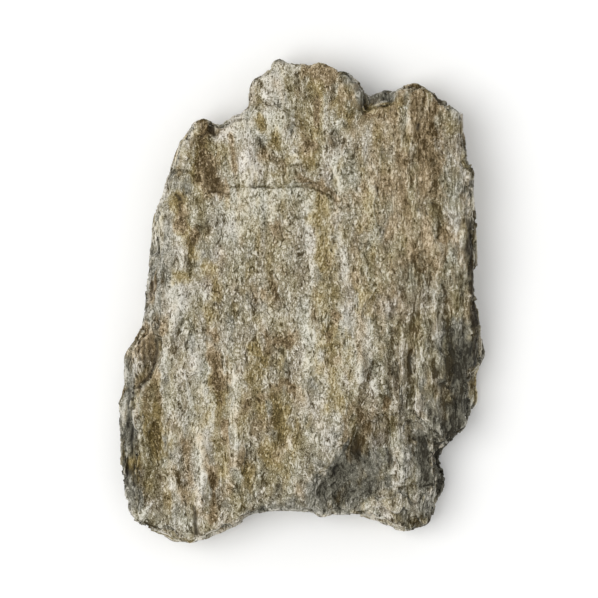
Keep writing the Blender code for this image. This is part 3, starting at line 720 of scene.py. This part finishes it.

# %% [markdown]
# ## Marks on the broken corner
# The lower right corner broke off later than the rest. It is dark fresh stone with a deep hollow at
# the top of the break, pale ridges, and cracks that cut off the lobe at the bottom. The dark of the
# hollow and of the cracks is painted shade, and the ridges are painted pale as a highlight on the side
# towards the lamp and dark as painted shade on the side away from it.

# %% Marks on the broken corner
CORNER = (
    ("fresh", 3.4, 0, 1, (5, -53), (9.6, -47), (15, -43), (19, -45)),
    ("fresh", 3, 0, 0.9, (13, -52), (19.6, -49)),
    ("brown", 1.8, -0.2, 0.6, (15.8, -30), (15.2, -40)),
    ("shade", 1.4, -0.3, 0.7, (15.4, -29), (15.2, -33), (14.6, -37)),
    ("shade", 0.8, -0.3, 0.8, (18, -31), (17.8, -34.4)),
    ("shade", 1.9, 0.3, 1, (14.8, -36.6), (14.6, -42)),
    ("dark", 1, 0, 0.5, (14.5, -38.4), (14.7, -41.6)),
    ("pale", 0.5, 0.4, 0.5, (11.3, -42.2), (5.4, -46.4), (3.2, -51.4)),
    ("pale", 0.45, 0.4, 0.4, (15, -46.4), (10.7, -48.9), (6.3, -52.7)),
    ("pale", 0.4, 0.4, 0.4, (19.4, -47), (15.6, -50), (12.4, -54.6)),
    ("shade", 2.1, 0, 0.7, (12, -38.8), (14.6, -40)),
    ("dark", 0.5, -0.6, 0.9, (9.4, -44.2), (8.6, -45.4), (8.9, -46.8)),
    ("shade", 2.6, 0, 0.6, (13.4, -47), (9.4, -53)),
    ("shade", 1.1, -0.3, 0.5, (6, -49.6), (4.4, -52)),
    ("shade", 1.5, -0.3, 1, (24.2, -33), (23.6, -35.2)),
    ("dark", 0.4, -0.5, 0.8, (23.7, -41.4), (23.4, -45)),
    ("pale", 1.3, 0.2, 1, (20.6, -40.6), (21.4, -42.6)),
    ("pale", 0.9, 0.4, 0.65, (25.8, -34.4), (26.6, -39.4), (27.2, -44)),
    ("pale", 1.6, 0.5, 1, (27.4, -42.4), (28, -47)),
    ("pale", 1, 0.4, 1, (24.2, -45.8), (24.6, -48.8), (27.8, -49.2)),
    ("fresh", 1.8, 0, 1, (31.4, -36), (33.8, -48)),
    ("shade", 1.8, -0.3, 0.85, (31.6, -37), (33.2, -43), (33.6, -48.8)),
    ("fresh", 1.6, 0, 1, (36.8, -41), (37.2, -52)),
    ("shade", 1.1, -0.4, 0.75, (36.2, -39.8), (36.2, -46), (37, -51.4)),
    ("shade", 0.6, -0.4, 0.7, (26.8, -50.3), (34.6, -49.6)),
    ("shade", 0.6, -0.2, 0.3, (16, -52.4), (20.4, -50.8)),
    ("pale", 1.8, 0.3, 1, (18.4, -54.8), (20.2, -58.6)),
    ("pale", 1.2, 0, 0.5, (22, -53.6), (23.2, -57.6)),
    ("pale", 0.9, 0.2, 0.6, (29.2, -50.9), (29.8, -52.4)),
    ("fresh", 2.4, 0, 0.6, (29, -57), (34, -56)),
    ("shade", 1.8, -0.3, 1, (30.6, -60.2), (34.6, -58.8)),
    ("fresh", 1.2, 0, 0.9, (-13, -57.6), (-6, -56), (4, -56.4), (12, -57.2)),
    ("shade", 1, -0.2, 0.6, (-12.2, -56.2), (-10.8, -56)),
)
print(len(CORNER), "marks")

# %% [markdown]
# ## Broad shades and stains
# Some shades and stains are as wide as a thumb and have no edge, and none has a height. The right
# slope and the left flank are darker than the middle. On the right slope, which turns away from the
# lamp, that dark is painted shade. Brown mica colours the upper right, and thin iron stains lie over
# the left of the middle.

# %% Broad shades and stains
BROAD = (
    ("brown", 7, 0.55, (24, 48), (28, 30), (30, 12)),
    ("brown", 4, 0.3, (20, 2), (18, -8)),
    ("ochre", 6, 0.3, (25, 44), (25, 16)),
    ("ochre", 4, 0.35, (-9, 34), (-9, -2), (-9, -32)),
    ("ochre", 4, 0.3, (-20, -24), (-17, -42)),
    ("brown", 4, 0.3, (-20, -36), (-16, -44)),
    ("brown", 4, 0.2, (-1, -28), (0, -36)),
    ("pale", 6, 0.45, (-25, -16), (-26, -50)),
    ("pale", 5.5, 0.8, (-14, 35), (-15, 24)),
    ("pale", 4, 0.75, (-20, 46), (-8, 46)),
    ("pale", 3.5, 0.7, (-9, 60.5), (-5, 54)),
    ("shade", 3, 0.35, (-1, 58), (3, 54)),
    ("pale", 4.5, 0.45, (20, 0), (18, -14), (9, -22)),
    ("pale", 3.5, 0.35, (-36, 36), (-38, 8)),
    ("fresh", 5, 0.45, (-38, 32), (-39, -6)),
    ("fresh", 3, 0.35, (-30, 6), (-31, -3)),
    ("pale", 3, 0.5, (19, 46), (20, 22)),
    ("pale", 2.4, 0.5, (8, 48), (8, 45)),
    ("pale", 3, 0.5, (42, 36), (41, 12)),
    ("pale", 2, 0.7, (-46.8, -20), (-46.6, -26)),
    ("shade", 4, 0.25, (31, 50), (32, 38)),
    ("shade", 4, 0.35, (41, 48), (38, 22)),
    ("shade", 4, 0.55, (31, 8), (29, -7)),
    ("shade", 4, 0.45, (42, 6), (39, 0)),
    # painted shade on the lower right slope, which faces away from the lamp
    ("shade", 5, 1, (42, -14), (40.5, -24), (41, -36)),
    ("shade", 6, 0.25, (30, -10), (29, -38)),
    ("shade", 4, 0.4, (21, -37), (20, -46)),
    ("shade", 4.5, 0.6, (9, -47), (14, -45), (16, -51)),
    ("pale", 3.5, 0.4, (2, -18), (3, -26)),
    ("shade", 3.5, 0.35, (-22, -53), (-10, -52)),
    ("shade", 3.5, 0.6, (-43, -34), (-41, -54)),
    ("shade", 4, 0.2, (-12, -24), (-11, -50)),
    ("shade", 4, 0.35, (-20, -2), (-15, -11)),
    ("shade", 3.5, 0.3, (-10, -16), (-3, -18)),
    ("shade", 3, 0.2, (-11, 17), (-11, 9)),
    ("shade", 3.5, 0.4, (-28, 26), (-26, 22)),
    ("shade", 4, 0.3, (14, 52), (17, 40)),
    ("shade", 3, 0.5, (37.6, -42), (38, -50)),
    ("shade", 3, 0.35, (20, -26), (20.4, -33)),
    ("pale", 2.4, 0.7, (-30, 48), (-29.6, 44)),
    ("pale", 2.4, 0.8, (-41, 6), (-41, -3)),
    ("pale", 3, 0.5, (-19.6, -20), (-16.6, -33)),
    ("pale", 2.5, 0.5, (-28, 13), (-28, 9)),
    ("shade", 3.5, 0.2, (4, 6), (9, 3)),
    ("shade", 3, 0.2, (14, 20), (19, 12)),
    ("shade", 3, 0.3, (12, 54), (6, 52)),
    ("pale", 3, 0.3, (1.6, -22), (1.8, -28)),
)
print(len(BROAD), "broad shades and stains")

# %% [markdown]
# ## Cut the marks into the skin
# The skin sinks or rises along each mark, most on its line and less to the sides. The lines wander
# a little and their width changes from grain to grain, so that no crack runs straight. Curves and
# a Boolean would leave hard rims and slivers, and moved points leave neither.

# %% Cut the marks
MARKS = TOP + SHOULDER + FACE + UPPER_LEFT + LEFT_FLANK + FLUTES + MIDDLE + RIGHT_HALF + CORNER
MARKS += tuple((kind, half_width, 0, *rest) for kind, half_width, *rest in BROAD)
WANDER, WIDE_WANDER, SHORT_WANDER = 0.40, 2.5, 1.1
RAGGED = ((1.7, 3.4, 0.9, 51.0), (0.8, 1.5, 0.6, 54.0))   # width, length, amount and seed


def wandering(places):
    shift = [wave(*(places / WIDE_WANDER).T, seed) + 0.5 * wave(*(places / SHORT_WANDER).T, seed)
             for seed in (45.0, 48.0)]
    return places[:, :2] + WANDER * np.column_stack(shift)


def raggedness(places):
    x, y, z = places.T
    return np.exp(sum(amount * wave(x / width, y / length, z / width, seed)
                      for width, length, amount, seed in RAGGED))


def closeness(path, half_width, flat, ragged):
    line = np.array(path, float)
    reach = 0.5 * np.ptp(line, axis=0) + 3.0 * half_width
    near = np.all(np.abs(flat - 0.5 * (line.min(axis=0) + line.max(axis=0))) < reach, axis=1)
    spots = flat[near]
    nearest = np.full(len(spots), np.inf)
    for start, step in zip(line[:-1], np.diff(line, axis=0)):
        share = np.clip((spots - start) @ step / (step @ step), 0.0, 1.0)
        nearest = np.minimum(nearest, np.hypot(*(spots - start - share[:, None] * step).T))
    close = np.zeros(len(flat))
    close[near] = np.exp(-(nearest / half_width * ragged[near]) ** 2)
    return close


places, normals = skin_places(), skin_normals()
flat, ragged = wandering(places), raggedness(places)
upper = smooth((normals[:, 2] - 0.05) / 0.3)
rise = np.zeros(len(places))
for kind, half_width, height, strength, *path in MARKS:
    if height:
        rise += height * closeness(path, half_width, flat, ragged)
places[:, 2] += upper * rise
move_skin(places)
print_range(f"{len(MARKS)} marks,", rise)

# %% [markdown]
# ## Keep to the guide and thin out
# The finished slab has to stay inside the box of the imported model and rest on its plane. Points past
# the box are brought back to it. Collapsing edges then takes vertices away where the skin is even.
# The underside, on which the slab lies, is thinned first and most, through a vertex group. What is
# still too much is then taken from the whole skin, so that the upper face keeps its grains.

# %% Keep to the box, thin out
MOST_TRIANGLES, UNDERSIDE_TRIANGLES = 196000, 38000


def keep_to_box():
    move_skin(np.clip(skin_places(), low_corner, high_corner))


def count_triangles():
    return sum(len(face.vertices) - 2 for face in rock.data.polygons)


keep_to_box()
facing_down = np.nonzero(skin_normals()[:, 2] < -0.3)[0]
rock.vertex_groups.new(name="under").add(facing_down.tolist(), 1.0, "REPLACE")
triangles = count_triangles()
under_thinned = triangles - 2 * len(facing_down) + UNDERSIDE_TRIANGLES
only_under = {"vertex_group": "under", "vertex_group_factor": 0.4}
with_modifier(rock, "DECIMATE", ratio=under_thinned / triangles, **only_under)
with_modifier(rock, "DECIMATE", ratio=MOST_TRIANGLES / count_triangles())
rock.vertex_groups.clear()
keep_to_box()
rock.data.shade_smooth()
print("triangles:", triangles, "thinned to", count_triangles())

# %% [markdown]
# ## Stain the stone along the marks, and paint light and shade
# Each kind of mark becomes an attribute on the vertices: a number from 0 to 1 that the material
# reads. An image would need an unwrapped slab, and numbers on its points don't. The broken sides
# are fresher stone than the face and have lost part of its stains. Dark and shade marks, in good part
# painted shadow and shade, belong to the face and fade where a side falls away steeply. Two more
# attributes say how far a point is on a side, and how much the stone is worn into streaks there.

# %% Stains as attributes
SPREAD = {"ochre": 1.9, "brown": 1.7, "fresh": 1.4, "pale": 1.2, "dark": 1.2, "shade": 1.2}
WASHED_OFF = {"ochre": 0.5, "brown": 0.4, "pale": 0.5}
STEEP_LEFT = {"dark": 0.25, "shade": 0.35}
FRESH_SIDES = 0.15
WIDE_END_STREAKS = 0.2


def write_attribute(name, values):
    attribute = rock.data.attributes.new(name, "FLOAT", "POINT")
    attribute.data.foreach_set("value", values.astype(np.float32))
    print(name, "covers", round(100.0 * float(values.mean())), "per cent")


places, normals = skin_places(), skin_normals()
flat, ragged = wandering(places), raggedness(places)
x, y, z = places.T
side = smooth((0.62 - normals[:, 2]) / 0.5)
steep = smooth((0.30 - normals[:, 2]) / 0.3)
stained = {kind: np.zeros(len(places)) for kind in KINDS}
for kind, half_width, height, strength, *path in MARKS:
    share = strength * closeness(path, SPREAD[kind] * half_width, flat, ragged)
    stained[kind] = np.maximum(stained[kind], share)
stained["fresh"] = np.maximum(stained["fresh"], FRESH_SIDES * side)
for kind, share in stained.items():
    kept = 1.0 - WASHED_OFF.get(kind, 0.0) * side - (1.0 - STEEP_LEFT.get(kind, 1.0)) * steep
    write_attribute(kind, share * kept)
write_attribute("side", side)
wide_end = WIDE_END_STREAKS * smooth((-12.0 - y) / 16.0)
write_attribute("streaked", np.maximum(smooth((x - 18.0) / 12.0), wide_end))

# %% [markdown]
# ## Hollows
# Hollows are painted darker, as the shade that falls in them, and what stands out is painted lighter,
# as light that catches it. How far each point lies under its neighbourhood is measured by smoothing
# a copy of the skin and comparing places along the normal.
# A little smoothing finds grooves and pits, and a lot of it finds the broad furrows. The lightly
# smoothed copy also tells where the slab slopes, because there its thin sheets come to the surface.
# The Geometry node's pointiness could find hollows too, but only in Cycles and at one size.

# %% Hollows
# names below and above, smoothing steps, and the millimetres that count in full
HOLLOWS = (("hollow", "proud", 14, 0.45), ("valley", "ridge", 110, 0.9))

soft = put_in_scene("soft_copy", rock.data.copy())
done = 0
for below, above, smoothing, depth in HOLLOWS:
    with_modifier(soft, "SMOOTH", factor=0.6, iterations=smoothing - done)
    if not done:
        flatness = np.abs(read(soft.data.vertex_normals, "vector")[:, 2])
        write_attribute("slope", smooth((0.93 - flatness) / 0.4))
    done = smoothing
    soft_places = read(soft.data.vertices, "co") / MM
    stand_out = ((places - soft_places) * normals).sum(axis=1) / depth
    write_attribute(below, np.clip(-stand_out, 0.0, 1.0))
    write_attribute(above, np.clip(stand_out, 0.0, 1.0))
bpy.data.objects.remove(soft)

# %% [markdown]
# ## Weathered greenschist: nodes
# The whole slab is one stone, so it has one material, built from nodes in code. One small function
# adds a node, sets its properties, and fills or links its sockets, so the material reads from top
# to bottom. Where a node is given as a value, its first output is linked.

# %% New material and node helper
def add_node(tree, kind, settings, sockets):
    node = tree.nodes.new("ShaderNode" + kind)
    for name, value in settings.items():
        setattr(node, name, value)
    for key, value in sockets.items():
        if isinstance(value, bpy.types.Node):
            value = value.outputs[0]
        if isinstance(value, bpy.types.NodeSocket):
            tree.links.new(value, node.inputs[key])
        else:
            node.inputs[key].default_value = value
    return node


# greenschist split along its sheets and weathered: dull tan grains, dark gaps and iron stains
stone, tree, surface = new_material("weathered_greenschist")
print(stone.name, "starts with", len(tree.nodes), "nodes")

# %% [markdown]
# ## Weathered greenschist: where a pattern lies
# The stone is a felt of pale feldspar and quartz grains, grey-green chlorite and brown weathered
# mica. The grains are about half a millimetre wide and two or three times as long, and they lie
# along the slab, turned a little to one side or the other. So each pattern is given by the size of
# its marks in millimetres and is laid along the sheets, and most are bent by a slow noise.

# %% Patterns along the sheets
BEND, BEND_SIZE = 2.6, (4.0, 6.0, 4.0)

place = add_node(tree, "TexCoord", {}, {}).outputs["Object"]
tilt = (SHEET_DIP[1], -SHEET_DIP[0], 0.0)


def pattern(kind, size, settings, sockets, centre=place):
    along_sheets = {"Vector": centre, "Scale": [length * MM for length in size], "Rotation": tilt}
    spot = add_node(tree, "Mapping", {"vector_type": "TEXTURE"}, along_sheets)
    return add_node(tree, kind, settings, {"Vector": spot, "Scale": 1.0, **sockets})


def sum_of(parts, start=0.0):
    for value, weight in parts:
        start = add_node(tree, "Math", {"operation": "MULTIPLY_ADD"}, {0: value, 1: weight, 2: start})
    return start


bends = pattern("TexNoise", BEND_SIZE, {}, {"Detail": 1.5})
moved = {0: bends.outputs["Color"], 1: (BEND * MM,) * 3, 2: place}
bent = add_node(tree, "VectorMath", {"operation": "MULTIPLY_ADD"}, moved).outputs[0]
painted = {name: add_node(tree, "Attribute", {"attribute_name": name}, {}).outputs["Fac"]
           for name in (*KINDS, "side", "slope", "streaked", "hollow", "proud", "valley", "ridge")}
print("painted on the skin:", list(painted))

# %% [markdown]
# ## Weathered greenschist: gaps and grains
# Between the grains there are dark gaps where soft mica has weathered out, and single pale grains
# catch the eye. Both are sparse: most of the face is quiet tan between them. Each kind is a noise
# of its own size, and only its highest or lowest values count. A Voronoi texture would give every
# cell the same weight, and the face would look like gravel.

# %% Gaps and grains
SPARSE = (
    # name, width, length and thickness in mm, noise value at the edge and inside, change of tone
    ("fine gaps", (0.46, 0.95, 0.46), 0.43, 0.31, -0.24),
    ("gaps", (0.80, 2.10, 0.80), 0.40, 0.30, -0.25),
    ("fine grains", (0.44, 0.90, 0.44), 0.57, 0.69, 0.29),
    ("laths", (0.75, 2.10, 0.75), 0.60, 0.71, 0.26),
)

sparse = {}
for number, (name, size, edge, inside, weight) in enumerate(SPARSE):
    own = {"W": 5.3 * number, "Detail": 1.0}
    base = pattern("TexNoise", size, {"noise_dimensions": "4D"}, own, bent)
    limits = {"Value": base.outputs["Fac"], "From Min": edge, "From Max": inside}
    sparse[name] = add_node(tree, "MapRange", {"interpolation_type": "SMOOTHSTEP"}, limits).outputs[0]
print("sparse patterns:", list(sparse))

# %% [markdown]
# ## Weathered greenschist: tone
# One number, the tone, says how light the stone is at a point: 0 is a dark gap and 1 a pale grain.
# It adds up a mottle, specks, gaps and grains, long streaks where the stone is worn across its
# sheets, thin layers where it slopes, painted shade in hollows and painted light on what stands out.
# Late breaks, dark marks of dirt and painted shadow, and streaks are more even in tone, so gaps and
# grains count less there. Mixing colours at each step would work too, but one number is easier to
# balance.

# %% Tone of the stone
SPECK = (0.26, 0.32, 0.26)   # real specks are finer: these are as fine as still shows
GRAIN = (0.55, 1.10, 0.55)
MOTTLE = (3.4, 6.0, 3.4)
STREAKS = ((0.5, 5.0, 0.5), (1.0, 10.0, 1.0))
LAYERS = ((9.0, 9.0, 0.45), (14.0, 14.0, 1.1))
TONE_START, FINE_START = 0.268, -0.255

mottle = pattern("TexNoise", MOTTLE, {}, {"Detail": 4.0, "Roughness": 0.85}, bent)
specks = pattern("TexNoise", SPECK, {}, {"Detail": 0.0})
grains = pattern("TexVoronoi", GRAIN, {}, {}, bent)
grain_tone = add_node(tree, "SeparateColor", {}, {0: grains.outputs["Color"]})
grain_border = grains.outputs["Distance"]
sums = []
for sizes, centre in ((STREAKS, bent), (LAYERS, place)):
    noises = [pattern("TexNoise", size, {}, {"Detail": 1.0}, centre) for size in sizes]
    sums.append(sum_of([(value, 1.0) for value in noises], start=-1.0))
streaks, layers = sums
quiet = ((painted["fresh"], -0.35), (painted["dark"], -0.30), (painted["streaked"], -0.25))
evenness = sum_of(quiet, start=1.0)
fine_parts = [(sparse[name], weight) for name, size, edge, inside, weight in SPARSE]
fine_sum = [*fine_parts, (specks, 0.50), (grain_tone, 0.12), (grain_border, -0.16)]
fine = sum_of(fine_sum, start=FINE_START)
TONE = (
    (mottle, 0.54),
    (sum_of([(fine, evenness)]), 1.0),
    (sum_of([(streaks, painted["streaked"])]), 0.42),
    (sum_of([(layers, painted["slope"])]), 1.0),
    # hollows and valleys darken as painted shade, proud points and ridges lighten as painted light
    (painted["hollow"], -0.10), (painted["proud"], 0.07),
    (painted["valley"], -0.06), (painted["ridge"], 0.06),
    # pale marks lighten the tone, partly as painted highlight
    (painted["pale"], 0.17), (painted["brown"], -0.05), (painted["ochre"], -0.02),
    # shade marks darken the tone as painted shade
    (painted["fresh"], -0.03), (painted["shade"], -0.27),
)
tone = sum_of(TONE, start=TONE_START)
print("grains, mm:", GRAIN)

# %% [markdown]
# ## Weathered greenschist: minerals and stains
# Each mineral or stain has a dark gap, a body and a pale grain of its own hue, and the tone picks
# between them. They are laid over one another, each through its own mask: a noise of a few
# millimetres, raised where its patches are. So the same hues that stain whole patches also mottle
# the rest of the face. A single ramp would tie each tone to one hue, and tan, olive, brown, lilac
# grey and green grey together make the colour of old greenschist. Last, a dark brown is multiplied
# over the deepest gaps and the dark marks: dirt, and painted shadow in slits, notches and crevices.

# %% Minerals and stains
BASE = ("#42351A", "#948B74", "#E5DED0")
MINERALS = (
    # name, colours, size of its mottles in mm, noise value where it begins, weights of the patches
    ("lilac grey quartz", ("#443822", "#A09788", "#E9E4DA"), (5.0, 10.0, 5.0), 0.38,
     {"pale": 0.26}),
    ("green grey chlorite", ("#3C3620", "#908C77", "#E0DDD0"), (4.4, 9.0, 4.4), 0.37,
     {"pale": 0.18}),
    ("olive mica", ("#40340E", "#8A8060", "#DAD3BE"), (4.0, 8.0, 4.0), 0.37,
     {"ochre": 0.29, "pale": -0.08}),
    ("ochre stain", ("#443710", "#8D7C50", "#D4C8A6"), (3.0, 7.0, 3.0), 0.50,
     {"ochre": 0.43, "pale": -0.10}),
    ("brown stain", ("#40300E", "#8B795A", "#D6C5A8"), (3.4, 7.0, 3.4), 0.50,
     {"brown": 0.46}),
    ("fresh stone", ("#2D291D", "#777466", "#C6C2B6"), (3.0, 6.0, 1.6), 0.47,
     {"fresh": 0.45, "ochre": -0.25, "brown": -0.25}),
)
TONES_AT = (0.22, 0.50, 0.78)
MASK_REACH = 0.42
# dark brown multiplied in as dirt and as painted shadow in the cracks
DIRT_AND_SHADOW, MOST_DIRT_AND_SHADOW = "#473920", 0.75

hues = []
for colours in (BASE, *(mineral[1] for mineral in MINERALS)):
    ramp = add_node(tree, "ValToRGB", {}, {0: tone})
    stops = ramp.color_ramp.elements
    stops.new(TONES_AT[1])
    for stop, position, shown in zip(stops, TONES_AT, colours):
        stop.position, stop.color = position, linear(shown)
    hues.append(ramp.outputs["Color"])

colour = hues[0]
for number, (name, colours, size, begins, patches) in enumerate(MINERALS):
    mottles = pattern("TexNoise", size, {"noise_dimensions": "4D"}, {"W": 3.7 * number, "Detail": 0.6})
    raised = [(painted[patch], weight) for patch, weight in patches.items()]
    value = sum_of(raised, start=mottles.outputs["Fac"])
    edges = {"Value": value, "From Min": begins, "From Max": begins + MASK_REACH}
    mask = add_node(tree, "MapRange", {"interpolation_type": "SMOOTHSTEP"}, edges)
    blend = {0: mask, 6: colour, 7: hues[number + 1]}
    colour = add_node(tree, "Mix", {"data_type": "RGBA"}, blend).outputs[2]
# where the dark marks are: dirt, and painted shadow in slits and crevices
dirt_and_shadow_amount = sum_of([(mottle, 0.9), (fine, 0.8)], start=painted["dark"])
edges = {"Value": dirt_and_shadow_amount, "From Min": 0.55, "From Max": 1.45, "To Max": MOST_DIRT_AND_SHADOW}
dirt_and_shadow_mask = add_node(tree, "MapRange", {"interpolation_type": "SMOOTHSTEP"}, edges)
shade = {0: dirt_and_shadow_mask, 6: colour, 7: linear(DIRT_AND_SHADOW)}
colour = add_node(tree, "Mix", {"data_type": "RGBA", "blend_type": "MULTIPLY"}, shade).outputs[2]
tree.links.new(colour, surface.inputs["Base Color"])
print("minerals and stains:", [mineral[0] for mineral in MINERALS])

# %% [markdown]
# ## Weathered greenschist: shine and grain relief
# Stone is a plain dielectric with an IOR near that of quartz. Weathered feldspar is matt, and mica
# plates are silky, so the roughness differs from grain to grain: one value for all would look like
# plaster. The bump only carries relief that is too low for the mesh, less than about 0.3 mm.

# %% Shine and grain relief
STONE_IOR = 1.55
LEAST_ROUGH, ROUGHER = 0.40, 0.30
GRAIN_RELIEF = 0.30 * MM

shine = sum_of([(grain_tone, ROUGHER)], start=LEAST_ROUGH)
tree.links.new(shine.outputs[0], surface.inputs["Roughness"])
surface.inputs["IOR"].default_value = STONE_IOR
surface.inputs["Specular IOR Level"].default_value = 0.2
grain_height = sum_of([*fine_parts, (specks, 0.5), (grain_border, -0.3), (mottle, 0.5)])
bump = add_node(tree, "Bump", {}, {"Strength": 1.0, "Distance": GRAIN_RELIEF, "Height": grain_height})
tree.links.new(bump.outputs["Normal"], surface.inputs["Normal"])
rock.data.materials.clear()
rock.data.materials.append(stone)
print("material nodes:", len(tree.nodes))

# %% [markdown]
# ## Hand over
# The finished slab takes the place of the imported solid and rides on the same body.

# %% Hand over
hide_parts("rock")
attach(rock, "root")
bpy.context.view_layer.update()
print("made in", round(time.time() - started, 1), "s")
